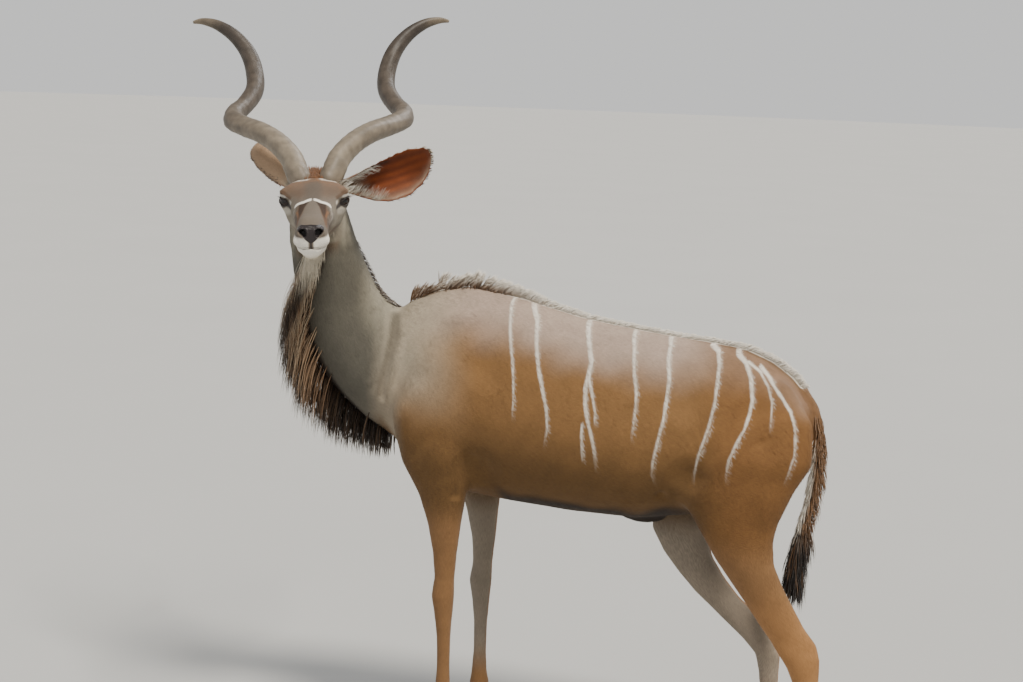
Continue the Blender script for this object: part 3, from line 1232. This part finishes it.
def nape_mane(rng):
    """Short mane on the nape: dark roots and pale tips, leaning back."""
    size = bpy.context.scene.kudu_sizes
    count = size.mane_hairs
    t = rng.uniform(1.1, 7.7, count)
    degrees = 6.5 * rng.normal(size=count)
    roots = neck_point(t, degrees, -3)
    _, along, side, across, _ = neck_frame(t)
    turn = np.radians(neck_twist(t))[:, None]
    out = side * np.cos(turn) + across * np.sin(turn)
    full = np.interp(t, (1.1, 2.4, 3.2, 4, 7.7), (1.0, 1.15, 0.7, 0.45, 0.35))
    length = size.mane_length * 1000 * full * rng.uniform(0.6, 1.15, count)
    start = out - along * 0.35 + 0.12 * rng.normal(size=(count, 3))
    end = out * 0.35 - along + 0.15 * rng.normal(size=(count, 3))
    dark = mix(colour("fringe_dark"), colour("forehead"), rng.random(count) * 0.8)
    tip = mix(dark * 1.3, colour("white"), (rng.random(count) < 0.35) * 0.85)
    return locks("nape_mane", roots, out, start, end, length,
                 rng.uniform(0.8, 1.4, count), dark, tip, 4)


def spine_crest(rng):
    """White crest along the spine, brown at the roots, tallest over the withers."""
    size = bpy.context.scene.kudu_sizes
    count = size.crest_hairs
    x = np.concatenate([rng.uniform(-500, -120, count // 2), rng.uniform(-120, 600, count - count // 2)])
    y = rng.normal(size=count) * np.interp(x, (-500, -200, 600), (7, 4.5, 3.5))
    z = np.interp(x, TRUNK[:, 0], TRUNK[:, 1]) - 3 - 0.03 * y * y
    roots = np.column_stack([x, y, z])
    n = np.broadcast_to(np.array((0, 0, 1.0)), roots.shape)
    full = np.interp(x, (-500, -450, -380, -300, -200, -120, 0, 300, 450, 600),
                     (0.75, 0.95, 1.0, 0.9, 0.66, 0.42, 0.3, 0.28, 0.36, 0.34))
    length = size.crest_length * 1000 * full * rng.uniform(0.65, 1.15, count) + 5
    clump = rng.normal(size=(160, 3))[(np.round(x / 9).astype(int)) % 160]
    front = (1 - smooth(-330, -180, x))[:, None]
    rear = smooth(-180, 0, x)[:, None]
    loose = (0.12 * rng.normal(size=(count, 3)) + 0.2 * clump) * (1, 1.2, 0.4)
    start = np.array((0.5, 0, 1.0)) + rear * (0.4, 0, -0.3) + loose
    loose = 0.12 * rng.normal(size=(count, 3)) + 0.22 * clump * front
    end = np.array((1.0, 0, 0.2)) + front * (-0.35, 0, 0.45) + loose
    brown = mix(colour("low_flank"), colour("rust"), rng.random(count) * 0.5)
    pale = smooth(-480, -400, x + 40 * rng.normal(size=count))
    root = mix(brown, colour("white"), smooth(-300, -60, x) * 0.9)
    tip = mix(brown * 0.6, colour("white"), np.clip(pale, 0.05, 1))
    flat = np.column_stack([0 * x, np.where(y < 0, -1.0, 1.0), 0.3 + 0 * x])
    return locks("spine_crest", roots, n, start, end, length,
                 rng.uniform(0.9, 1.6, count), root, tip, 4, 0.3, flat)


def tail_hair(rng):
    """Tail: brown outside, white inside, ending in a black tuft."""
    count = bpy.context.scene.kudu_sizes.tail_hairs
    z = np.concatenate([rng.uniform(740, 1085, count // 2), rng.uniform(600, 770, count - count // 2)])
    angle = rng.uniform(0, 2 * math.pi, count)
    x0 = np.interp(z, (540, 575, 630, 690, 745, 820, 905, 985, 1050, 1096),
                   (612, 608, 607, 612, 624, 642, 652, 650, 634, 600))
    y0 = np.interp(z, (540, 745, 905, 1100), (-8, -8, -2, 0))
    tuft = 1 - smooth(735, 775, z)
    reach = np.where(tuft > 0.5, 9, 15)
    out = np.column_stack([np.cos(angle), np.sin(angle), np.zeros(count)])
    roots = np.column_stack([x0, y0, z]) + out * reach[:, None] * (0.85, 1.25, 0)
    length = np.where(tuft > 0.5, rng.uniform(55, 105, count), rng.uniform(28, 48, count))
    length = np.minimum(length, z - 505)
    start = out * 0.55 + np.array((0, 0, -1.0)) + 0.08 * rng.normal(size=(count, 3))
    end = out * 0.12 * (1 - tuft[:, None]) + np.array((0, 0, -1.0)) + 0.07 * rng.normal(size=(count, 3))
    side = mix(colour("tail"), colour("white"), smooth(0.0, 0.6, -out[:, 0]))
    rgb = mix(side, mix(colour("fringe_dark") * 0.6, colour("tail"), (rng.random(count) < 0.15) * 0.6), tuft)
    return locks("tail_hair", roots, out, start, end, length, rng.uniform(1.0, 1.8, count),
                 rgb * 0.85, rgb * 1.1, 4)


def ear_fringe(rng):
    """Pale hair along the inner rims of the ears and across their openings."""
    roots, normals, ways = [], [], []
    skin = bpy.data.objects["skin"]
    p, n = in_tables(points_of(skin.data)), normals_of(skin.data)
    ear = ear_mask(p) > 0.6
    for name, (seat, tip, opens) in EARS.items():
        share, away = ear_share(p, name)
        along = unit(np.array(tip) - from_head(seat))
        inner = n @ unit(opens)
        low = (away < EAR_REACH) & (share > 0.03) & (share < 0.42)
        near = np.nonzero(ear & low & (inner > -0.35) & (inner < 0.8))[0]
        pick = rng.choice(near, 420)
        roots.append(p[pick])
        normals.append(n[pick])
        reach = np.linalg.norm(np.array(tip) - from_head(seat))
        middle = from_head(seat) + along * (share[pick] * reach)[:, None]
        ways.append(unit(middle - p[pick]) * 0.5 + along * 0.9 + unit(opens) * 0.35)
    roots, normals, ways = map(np.concatenate, (roots, normals, ways))
    count = len(roots)
    ways = ways + 0.12 * rng.normal(size=(count, 3))
    length = rng.uniform(16, 40, count)
    rgb = np.broadcast_to(colour("white"), roots.shape) * rng.uniform(0.75, 1.0, (count, 1))
    return locks("ear_fringe", roots - normals, normals, normals * 0.3 + ways, ways, length,
                 rng.uniform(0.5, 0.9, count),
                 rgb * 0.85, rgb, 4)


def ear_rims(rng):
    """Short hair round the rims of the ears: pale above, dark below."""
    skin = bpy.data.objects["skin"]
    p, n = in_tables(points_of(skin.data)), normals_of(skin.data)
    ear = ear_mask(p) > 0.6
    roots, normals, ways = [], [], []
    for name, (seat, tip, opens) in EARS.items():
        share, away = ear_share(p, name)
        along = unit(np.array(tip) - from_head(seat))
        rim = np.nonzero(ear & (away < EAR_REACH) & (share > 0.2) & (np.abs(n @ unit(opens)) < 0.55))[0]
        pick = rng.choice(rim, 620)
        roots.append(p[pick])
        normals.append(n[pick])
        ways.append(n[pick] * 0.5 + along)
    roots, normals, ways = map(np.concatenate, (roots, normals, ways))
    count = len(roots)
    ways = ways + 0.15 * rng.normal(size=(count, 3))
    length = rng.uniform(6, 12, count)
    rgb = mix(colour("dark_face") * 0.7, colour("cream"), smooth(-0.1, 0.3, normals[:, 2]))
    return locks("ear_rims", roots - normals, normals, ways, ways - normals * 0.3, length,
                 rng.uniform(0.6, 1.0, count),
                 rgb * 0.9, rgb, 3)


def forehead_tuft(rng):
    """Rusty hair between the horns and pale hair round their bases."""
    count = 520
    q = np.column_stack([rng.uniform(-40, 62, count), rng.normal(size=count) * 15, np.zeros(count)])
    q[:, 2] = np.interp(q[:, 0], (-66, -30, 15, 60, 98), (-16, -3, 1, 1, -4)) - 0.004 * q[:, 1] ** 2
    roots = from_head(q)
    n = np.broadcast_to(HEAD_Z, roots.shape)
    start = HEAD_Z * 0.8 - HEAD_X * 0.45 + 0.18 * rng.normal(size=(count, 3))
    end = -HEAD_X * 0.8 + HEAD_Z * 0.4 + 0.2 * rng.normal(size=(count, 3))
    length = rng.uniform(9, 20, count) * np.interp(q[:, 0], (-40, 0, 62), (1.3, 1.1, 0.7))
    rgb = mix(colour("rust"), colour("dark_face"), rng.random(count) * 0.6)
    return locks("forehead_tuft", roots, n, start, end, length,
                 rng.uniform(0.5, 0.9, count), rgb * 0.85, rgb * 1.15,
                 3)


class KUDU_OT_long_hair(bpy.types.Operator):
    """Hang the throat fringe and grow the chin hair, mane, crest, tail hair, ear hair and forehead tuft"""
    bl_idname = "kudu.long_hair"
    bl_label = "Grow Long Hair"

    def execute(self, context):
        for seed, make in enumerate((
                throat_fringe, chin_hair, nape_mane, spine_crest, tail_hair,
                ear_fringe, ear_rims, forehead_tuft)):
            make(np.random.default_rng(100 + seed))
        return {"FINISHED"}


# Horns, eyes and hooves

def frame_matrix(centre, x_axis, y_axis, z_axis):
    """Matrix of a place and its three axes."""
    rows = np.column_stack([x_axis, y_axis, z_axis])
    return Matrix.Translation(Vector(centre)) @ Matrix(rows.tolist()).to_4x4()


def horn_line(side):
    """Centres, radii, keel directions and directions along a horn, in the tables' frame."""
    lean = math.radians(HORN_LEAN)
    axis = HEAD_X * math.cos(lean) + HEAD_Z * math.sin(lean)
    front = square(HEAD_Z, axis)
    outward = HEAD_Y * side
    rows = rows_at(HORN, np.linspace(0, len(HORN) - 1, 150))
    centres = np.array(HEAD_ORIGIN) + rows[:, :1] * axis + rows[:, 1:2] * outward + rows[:, 2:3] * front
    along = unit(np.gradient(centres, axis=0))
    angle = np.radians(rows[:, 4:5])
    keel = square(outward * np.cos(angle) + front * np.sin(angle), along)
    return centres, rows[:, 3], keel, along


def horn_object(name, side):
    """A horn of rings bridged along its spiral, with its keel and the swellings of its growth."""
    centres, radii, keel, along = horn_line(side)
    run = np.concatenate([[0], np.cumsum(np.linalg.norm(np.diff(centres, axis=0), axis=1))])
    bm = bmesh.new()
    previous = None
    for i, centre in enumerate(centres):
        swell = 0.55 * (1 - run[i] / run[-1]) * math.sin(run[i] / 4.6) * (1 if run[i] < 620 else 0.3)
        radius = (radii[i] - 0.5 + swell) / 1000
        matrix = frame_matrix(in_model(centre), keel[i], np.cross(along[i], keel[i]), along[i])
        ring = bmesh.ops.create_circle(bm, segments=36, radius=radius, matrix=matrix)["verts"]
        middle = Vector(in_model(centre))
        for vert in ring:
            local = matrix.inverted() @ vert.co
            turn = math.atan2(local.y, local.x)
            grow = 1 + 0.16 * max(0, math.cos(turn)) ** 4 + 0.012 * math.sin(turn * 9 + run[i] / 60)
            vert.co = middle + (vert.co - middle) * grow
        edges = list({e for v in ring for e in v.link_edges})
        if previous:
            bmesh.ops.bridge_loops(bm, edges=previous + edges)
        previous = edges
    ends = [e for e in bm.edges if e.is_boundary]
    bmesh.ops.holes_fill(bm, edges=ends)
    bmesh.ops.recalc_face_normals(bm, faces=bm.faces)
    mesh = bpy.data.meshes.new(name)
    bm.to_mesh(mesh)
    bm.free()
    p = in_tables(points_of(mesh))
    nearest = np.array([np.argmin(((centres - q) ** 2).sum(1)) for q in p])
    share = run[nearest] / run[-1]
    attribute = mesh.attributes.new("Along", "FLOAT", "POINT")
    attribute.data.foreach_set("value", share.astype(np.float32))
    return link(bpy.data.objects.new(name, mesh))


# Colours of the horn from its base, at 0, to its tip, at 1
HORN_TONES = ((0.0, "#6A6054"), (0.1, "#857A6A"), (0.33, "#71675A"), (0.55, "#554C43"), (0.9, "#3D3630"),
              (1.0, "#857866"))


def horn_material():
    """Horn: layered keratin, satin, with a fine broken grain and growth lines; darker until near the tip."""
    material, tree, shader = new_material("Weathered horn")
    along = add_node(tree, "ShaderNodeAttribute", {"attribute_name": "Along"})
    place = add_node(tree, "ShaderNodeTexCoord")
    tone = add_node(tree, "ShaderNodeValToRGB", links={"Fac": (along, "Fac")})
    ramp = tone.color_ramp
    while len(ramp.elements) < len(HORN_TONES):
        ramp.elements.new(0.5)
    for element, (at, shade) in zip(ramp.elements, HORN_TONES):
        element.position = at
        element.color = (*linear(shade), 1)
    blotch = add_node(tree, "ShaderNodeTexNoise",
                     links={"Vector": (place, "Object"), "Scale": 38.0, "Detail": 6.0})
    spread = add_node(tree, "ShaderNodeMapRange",
                      links={"Value": (blotch, "Fac"), "From Min": 0.3, "From Max": 0.7,
                             "To Min": 0.72, "To Max": 1.22})
    colour_mix = add_node(tree, "ShaderNodeMix", {"data_type": "RGBA", "blend_type": "MULTIPLY"}, {0: 1.0})
    tree.links.new(tone.outputs["Color"], colour_mix.inputs[6])
    tree.links.new(spread.outputs["Result"], colour_mix.inputs[7])
    rings = add_node(tree, "ShaderNodeMath", {"operation": "MULTIPLY"}, {0: (along, "Fac"), 1: 260.0})
    wave = add_node(tree, "ShaderNodeMath", {"operation": "SINE"}, {0: (rings, "Value")})
    fibre = add_node(tree, "ShaderNodeTexNoise",
                    links={"Vector": (place, "Object"), "Scale": 210.0, "Detail": 4.0})
    height = add_node(tree, "ShaderNodeMath", {"operation": "MULTIPLY_ADD"},
                     {0: (wave, "Value"), 1: 0.25, 2: (fibre, "Fac")})
    bump = add_node(tree, "ShaderNodeBump",
                   links={"Height": (height, "Value"), "Strength": 0.35, "Distance": 0.0012})
    tree.links.new(colour_mix.outputs[2], shader.inputs["Base Color"])
    tree.links.new(bump.outputs["Normal"], shader.inputs["Normal"])
    shader.inputs["Roughness"].default_value = 0.5
    shader.inputs["IOR"].default_value = 1.54
    shader.inputs["Specular IOR Level"].default_value = 0.32
    return material


class KUDU_OT_horns(bpy.types.Operator):
    """Build the two spiral horns with their keels and growth rings"""
    bl_idname = "kudu.horns"
    bl_label = "Build Horns"

    def execute(self, context):
        material = horn_material()
        for name, side in (("horn_left", 1), ("horn_right", -1)):
            finish_piece(horn_object(f"spiral_{name}", side), material, (name,))
        return {"FINISHED"}


def eye_object(name, side):
    """Eyeball with a bulging cornea, its dark iris and level pupil painted round the way it looks."""
    size = bpy.context.scene.kudu_sizes
    middle = from_head(np.array(EYE_CENTRE) * (1, side, 1))
    look = unit(np.array(EYE_LOOK) * (1, side, 1)) @ HEAD_AXES
    up = square(HEAD_Z, look)
    bm = bmesh.new()
    matrix = frame_matrix(in_model(middle), np.cross(up, look), up, look)
    bmesh.ops.create_uvsphere(bm, u_segments=48, v_segments=40, radius=size.eye_diameter / 2 - 0.0003,
                              matrix=matrix)
    mesh = bpy.data.meshes.new(name)
    bm.to_mesh(mesh)
    bm.free()
    q = in_tables(points_of(mesh)) - middle
    a, b = q @ np.cross(up, look), q @ up
    away = np.hypot(a, b)
    iris = 1 - smooth(12.5, 14.0, away)
    pupil = 1 - smooth(0.8, 1.0, np.sqrt((a / 8.5) ** 2 + (b / 4.2) ** 2))
    rgb = mix(np.array(linear("#1E1613")), np.array(linear("#24140B")), iris)
    rgb = mix(rgb, np.array(linear("#050506")), pupil)
    paint(mesh, "Coat", rgb)
    return link(bpy.data.objects.new(name, mesh))


def eye_material():
    """Eye: wet cornea over a dark brown iris, so a hard, clear highlight."""
    material, tree, shader = new_material("Wet eye")
    coat = add_node(tree, "ShaderNodeVertexColor", {"layer_name": "Coat"})
    tree.links.new(coat.outputs["Color"], shader.inputs["Base Color"])
    shader.inputs["Roughness"].default_value = 0.12
    shader.inputs["IOR"].default_value = 1.376
    shader.inputs["Coat Weight"].default_value = 0.25
    shader.inputs["Coat Roughness"].default_value = 0.03
    return material


def lid_rim(name, side):
    """Bare dark rim of the lids, swept round the opening on the eyeball."""
    size = bpy.context.scene.kudu_sizes
    middle = np.array(EYE_CENTRE) * (1, side, 1)
    look = unit(np.array(EYE_LOOK) * (1, side, 1))
    along = square((1, 0, -0.12), look)
    up = square((0, 0, 1), look)
    ball = size.eye_diameter * 500 + 0.9
    angles = np.linspace(0, 2 * math.pi, 49)[:-1]
    reach = 1.02 / lid_ratio(np.cos(angles), np.sin(angles))
    a, b = np.cos(angles) * reach, np.sin(angles) * reach
    flat = a[:, None] * along + b[:, None] * up
    front = np.sqrt(np.maximum(ball ** 2 - (flat ** 2).sum(1), 1))
    line = middle + flat + front[:, None] * look
    bm = bmesh.new()
    first = previous = None
    for i in range(48):
        ahead = unit(line[(i + 1) % 48] - line[i - 1])
        out = square(line[i] - middle, ahead)
        matrix = frame_matrix(in_model(from_head(line[i])), out @ HEAD_AXES, np.cross(ahead, out) @ HEAD_AXES,
                              ahead @ HEAD_AXES)
        ring = bmesh.ops.create_circle(bm, segments=8, radius=0.0014, matrix=matrix)["verts"]
        edges = list({e for v in ring for e in v.link_edges})
        if previous:
            bmesh.ops.bridge_loops(bm, edges=previous + edges)
        else:
            first = edges
        previous = edges
    bmesh.ops.bridge_loops(bm, edges=previous + first)
    bmesh.ops.recalc_face_normals(bm, faces=bm.faces)
    mesh = bpy.data.meshes.new(name)
    bm.to_mesh(mesh)
    bm.free()
    return link(bpy.data.objects.new(name, mesh)), from_head(line), unit((line - middle) @ HEAD_AXES)


def lashes(name, line, out, rng):
    """Upper eyelashes."""
    count = 90
    pick = rng.integers(2, 22, count)
    roots = line[pick] + rng.normal(size=(count, 3)) * 0.5
    n = out[pick]
    start = n + HEAD_Z * 0.2 + 0.1 * rng.normal(size=(count, 3))
    end = n * 0.7 - HEAD_Z * 0.25 - np.array((0, 0, 0.25)) + 0.1 * rng.normal(size=(count, 3))
    dark = np.broadcast_to(colour("nose"), roots.shape)
    length = rng.uniform(8, 13, count)
    return locks(name, roots, n, start, end, length, np.full(count, 0.28), dark, dark, 4)


def bare_skin_material():
    """Bare black skin of the lids: soft and slightly moist."""
    material, tree, shader = new_material("Bare lid skin")
    place = add_node(tree, "ShaderNodeTexCoord")
    creases = add_node(tree, "ShaderNodeTexNoise",
                      links={"Vector": (place, "Object"), "Scale": 900.0, "Detail": 3.0})
    bump = add_node(tree, "ShaderNodeBump",
                   links={"Height": (creases, "Fac"), "Strength": 0.4, "Distance": 0.0004})
    tree.links.new(bump.outputs["Normal"], shader.inputs["Normal"])
    shader.inputs["Base Color"].default_value = (*linear("#2B2422"), 1)
    shader.inputs["Roughness"].default_value = 0.38
    return material


class KUDU_OT_eyes(bpy.types.Operator):
    """Build the eyeballs, the bare rims of the lids and the upper lashes"""
    bl_idname = "kudu.eyes"
    bl_label = "Build Eyes"

    def execute(self, context):
        wet, bare = eye_material(), bare_skin_material()
        for name, side in (("left", 1), ("right", -1)):
            finish_piece(eye_object(f"eyeball_{name}", side), wet, (f"eye_{name}",))
            rim, line, out = lid_rim(f"lid_rim_{name}", side)
            finish_piece(rim, bare)
            lashes(f"lashes_{name}", line, out, np.random.default_rng(40 + side))
        return {"FINISHED"}


def hoof_object(node):
    """A hoof from its solid, rounded off and ringed by its growth."""
    bm = bmesh.new()
    bm.from_mesh(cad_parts[node].data)
    bmesh.ops.remove_doubles(bm, verts=bm.verts, dist=1e-5)
    mesh = bpy.data.meshes.new(f"horny_{node}")
    bm.to_mesh(mesh)
    bm.free()
    obj = link(bpy.data.objects.new(f"horny_{node}", mesh))
    remesh = obj.modifiers.new("Close", "REMESH")
    remesh.mode, remesh.voxel_size = "VOXEL", 0.0019
    soften = obj.modifiers.new("Soften", "SMOOTH")
    soften.factor, soften.iterations = 0.5, 10
    applied(obj)
    obj.data.update()
    p, n = points_of(obj.data), normals_of(obj.data)
    flat = np.hypot(n[:, 0], n[:, 1])
    rings = 0.00035 * np.sin(p[:, 2] * 1000 / 0.95 + 0.5 * np.sin(p[:, 0] * 300)) * flat
    p = p + n * rings[:, None]
    p[:, 2] = np.maximum(p[:, 2], 0.0)
    set_points(obj.data, p)
    return obj


def hoof_material():
    """Hoof horn: dark, dense keratin, satin, scuffed paler towards the ground."""
    material, tree, shader = new_material("Hoof horn")
    place = add_node(tree, "ShaderNodeTexCoord")
    split = add_node(tree, "ShaderNodeSeparateXYZ", links={"Vector": (place, "Object")})
    scuff = add_node(tree, "ShaderNodeTexNoise",
                    links={"Vector": (place, "Object"), "Scale": 160.0, "Detail": 6.0})
    low = add_node(tree, "ShaderNodeMapRange",
                  links={"Value": (split, "Z"), "From Min": 0.03, "From Max": 0.0})
    worn = add_node(tree, "ShaderNodeMath", {"operation": "MULTIPLY"},
                   {0: (low, "Result"), 1: (scuff, "Fac")})
    tone = add_node(tree, "ShaderNodeMix", {"data_type": "RGBA"})
    tree.links.new(worn.outputs["Value"], tone.inputs[0])
    tone.inputs[6].default_value = (*linear("#2A2521"), 1)
    tone.inputs[7].default_value = (*linear("#6B5F50"), 1)
    tree.links.new(tone.outputs[2], shader.inputs["Base Color"])
    bump = add_node(tree, "ShaderNodeBump",
                   links={"Height": (scuff, "Fac"), "Strength": 0.3, "Distance": 0.0006})
    tree.links.new(bump.outputs["Normal"], shader.inputs["Normal"])
    shader.inputs["Roughness"].default_value = 0.5
    return material


class KUDU_OT_hooves(bpy.types.Operator):
    """Build the four cloven hooves"""
    bl_idname = "kudu.hooves"
    bl_label = "Build Hooves"

    def execute(self, context):
        material = hoof_material()
        for node in ("forehoof_left", "forehoof_right", "hindhoof_left", "hindhoof_right"):
            finish_piece(hoof_object(node), material, (node,))
        return {"FINISHED"}


# Stage

def floor_material():
    """Painted studio floor: matt and pale."""
    material, tree, shader = new_material("Pale studio floor")
    place = add_node(tree, "ShaderNodeTexCoord")
    cloud = add_node(tree, "ShaderNodeTexNoise",
                    links={"Vector": (place, "Object"), "Scale": 0.8, "Detail": 4.0})
    tone = add_node(tree, "ShaderNodeMix", {"data_type": "RGBA"})
    tree.links.new(cloud.outputs["Fac"], tone.inputs[0])
    tone.inputs[6].default_value = (*linear("#B3B3B1"), 1)
    tone.inputs[7].default_value = (*linear("#B9B9B7"), 1)
    tree.links.new(tone.outputs[2], shader.inputs["Base Color"])
    shader.inputs["Roughness"].default_value = 0.9
    return material


def sun_light(name, direction, power, spread, hex_colour):
    """Broad, soft light from far off, in the given direction."""
    data = bpy.data.lights.new(name, "SUN")
    data.angle, data.energy, data.color = spread, power, linear(hex_colour)
    obj = link(bpy.data.objects.new(name, data))
    obj.matrix_world = Vector(direction).to_track_quat("Z", "Y").to_matrix().to_4x4()
    return obj


def photo_camera():
    """Camera at the photograph's angle, with its roll and framing."""
    stage = bpy.context.scene.kudu_stage
    azimuth, elevation, roll = stage.azimuth, stage.elevation, stage.roll
    back = np.array((math.sin(azimuth) * math.cos(elevation), -math.cos(azimuth) * math.cos(elevation),
                     math.sin(elevation)))
    right = np.array((math.cos(azimuth), math.sin(azimuth), 0))
    up = np.cross(back, right)
    turned_right = right * math.cos(roll) + up * math.sin(roll)
    turned_up = -right * math.sin(roll) + up * math.cos(roll)
    target = in_model(np.array(stage.target[:]) * 1000)
    data = bpy.data.cameras.new("photo_camera")
    data.lens, data.sensor_width, data.clip_end = stage.lens, 36, 200
    obj = link(bpy.data.objects.new("photo_camera", data))
    obj.matrix_world = frame_matrix(target + back * stage.distance, turned_right, turned_up, back)
    bpy.context.scene.camera = obj


class KUDU_OT_stage(bpy.types.Operator):
    """Set the pale floor, the soft lights and the camera"""
    bl_idname = "kudu.stage"
    bl_label = "Set Stage"

    def execute(self, context):
        bm = bmesh.new()
        bmesh.ops.create_circle(bm, cap_ends=True, segments=96, radius=60)
        mesh = bpy.data.meshes.new("floor")
        bm.to_mesh(mesh)
        bm.free()
        floor = link(bpy.data.objects.new("floor", mesh))
        floor.location.z = -0.0005
        mesh.materials.append(floor_material())
        lights = [
            sun_light("key", (0.5, -0.38, 1.0), 4.1, 0.25, "#FFF8EC"),
            sun_light("fill", (-0.7, -0.9, 0.6), 0.4, 1.0, "#F4F7FF"),
            sun_light("rim", (0.3, 0.9, 0.8), 1.6, 0.4, "#FFFFFF"),
        ]
        world = bpy.data.worlds.new("studio")
        bpy.context.scene.world = world
        world.use_nodes = True
        tree = world.node_tree
        background = tree.nodes["Background"]
        background.inputs["Color"].default_value = (*linear("#E8E8E7"), 1)
        way = add_node(tree, "ShaderNodeTexCoord")
        parts = add_node(tree, "ShaderNodeSeparateXYZ", links={"Vector": (way, "Generated")})
        glow = add_node(tree, "ShaderNodeMapRange",
                   links={"Value": (parts, "Z"), "From Min": 0.06, "From Max": 0.35,
                          "To Min": 0.95, "To Max": 0.4})
        tree.links.new(glow.outputs["Result"], background.inputs["Strength"])
        photo_camera()
        return {"FINISHED"}


# Settings and panel

def length_property(name, default, description):
    """Setting that is a length in metres."""
    return bpy.props.FloatProperty(name=name, description=description,
                                   default=default, unit="LENGTH", precision=4)


def count_property(name, default, description):
    """Setting that is a number of things."""
    return bpy.props.IntProperty(name=name, description=description, default=default, min=1)


def angle_property(name, degrees, description):
    """Setting that is an angle, with its default in degrees."""
    return bpy.props.FloatProperty(name=name, description=description, default=math.radians(degrees),
                                   subtype="ANGLE")


class KuduColours(bpy.types.PropertyGroup):
    """Colours of the coat and the bare skin."""
    __annotations__ = {
        key: bpy.props.FloatVectorProperty(name=key.replace("_", " ").capitalize(), description=text,
                                           subtype="COLOR",
                                           size=3, min=0, max=1, default=linear(code))
        for key, (code, text) in COLOURS.items()
    }


class KuduSizes(bpy.types.PropertyGroup):
    """Sizes of the skin, the coat, the eyes and the long hair."""
    skin_grain: length_property("Skin grain", 0.0060, "Cell of the remesh that closes the skin")
    body_smoothing: count_property("Body smoothing", 60, "Rounds of smoothing of trunk and neck")
    tuft_length: length_property("Tuft length", 0.015, "Length of a short tuft on the trunk")
    tuft_width: length_property("Tuft width", 0.0019, "Width of a short tuft on the trunk")
    tuft_density: bpy.props.FloatProperty(name="Tuft density", default=0.064,
                                          description="Short tufts per square millimetre on the trunk")
    eye_diameter: length_property("Eye diameter", 0.040, "Diameter of an eyeball")
    eye_opening: length_property("Eye opening", 0.038, "Length of the opening between the lids")
    fringe_length: length_property("Fringe length", 0.185, "Longest hair of the throat fringe")
    fringe_hairs: count_property("Fringe hairs", 4000, "Locks in the throat fringe")
    mane_length: length_property("Mane length", 0.042, "Length of the nape mane")
    mane_hairs: count_property("Mane hairs", 1500, "Locks in the nape mane")
    crest_length: length_property("Crest length", 0.052, "Longest hair of the spine crest")
    crest_hairs: count_property("Crest hairs", 4200, "Locks in the spine crest")
    tail_hairs: count_property("Tail hairs", 2200, "Locks on the tail")


class KuduStage(bpy.types.PropertyGroup):
    """Place of the camera."""
    azimuth: angle_property("Azimuth", 18, "Turn of the camera round the animal")
    elevation: angle_property("Elevation", 9, "Height of the camera above the horizon")
    roll: angle_property("Roll", 2.1, "Roll of the camera")
    distance: length_property("Distance", 5.0, "Distance of the camera from its target")
    lens: bpy.props.FloatProperty(name="Lens", description="Focal length in millimetres", default=64.25)
    target: bpy.props.FloatVectorProperty(name="Target", default=(-0.2038, 0, 1.1694), subtype="TRANSLATION",
                                          description="Place that the camera looks at, in the tables' frame")


# Operators in the order in which they run
BUILD_ORDER = ("skin", "coat", "long_hair", "horns", "eyes", "hooves", "stage")


class KUDU_PT_panel(bpy.types.Panel):
    """Sizes, colours and builders of the kudu"""
    bl_label = "Kudu Bull"
    bl_idname = "KUDU_PT_panel"
    bl_space_type = "VIEW_3D"
    bl_region_type = "UI"
    bl_category = "Kudu"

    def draw(self, context):
        for name in BUILD_ORDER:
            self.layout.operator(f"kudu.{name}")
        for group in ("kudu_sizes", "kudu_colours", "kudu_stage"):
            settings = getattr(context.scene, group)
            for key in settings.bl_rna.properties.keys():
                if key not in ("rna_type", "name"):
                    self.layout.prop(settings, key)


CLASSES = (KuduColours, KuduSizes, KuduStage, KUDU_OT_skin, KUDU_OT_coat, KUDU_OT_long_hair, KUDU_OT_horns,
           KUDU_OT_eyes, KUDU_OT_hooves, KUDU_OT_stage, KUDU_PT_panel)


def register():
    """Registers the classes and hangs the settings on the scene."""
    for cls in CLASSES:
        bpy.utils.register_class(cls)
    bpy.types.Scene.kudu_colours = bpy.props.PointerProperty(type=KuduColours)
    bpy.types.Scene.kudu_sizes = bpy.props.PointerProperty(type=KuduSizes)
    bpy.types.Scene.kudu_stage = bpy.props.PointerProperty(type=KuduStage)


def unregister():
    """Takes the settings and the classes away again."""
    for name in ("kudu_colours", "kudu_sizes", "kudu_stage"):
        delattr(bpy.types.Scene, name)
    for cls in reversed(CLASSES):
        bpy.utils.unregister_class(cls)


def main():
    """Builds every piece in order."""
    register()
    for name in BUILD_ORDER:
        getattr(bpy.ops.kudu, name)()


if __name__ == "__main__":
    main()
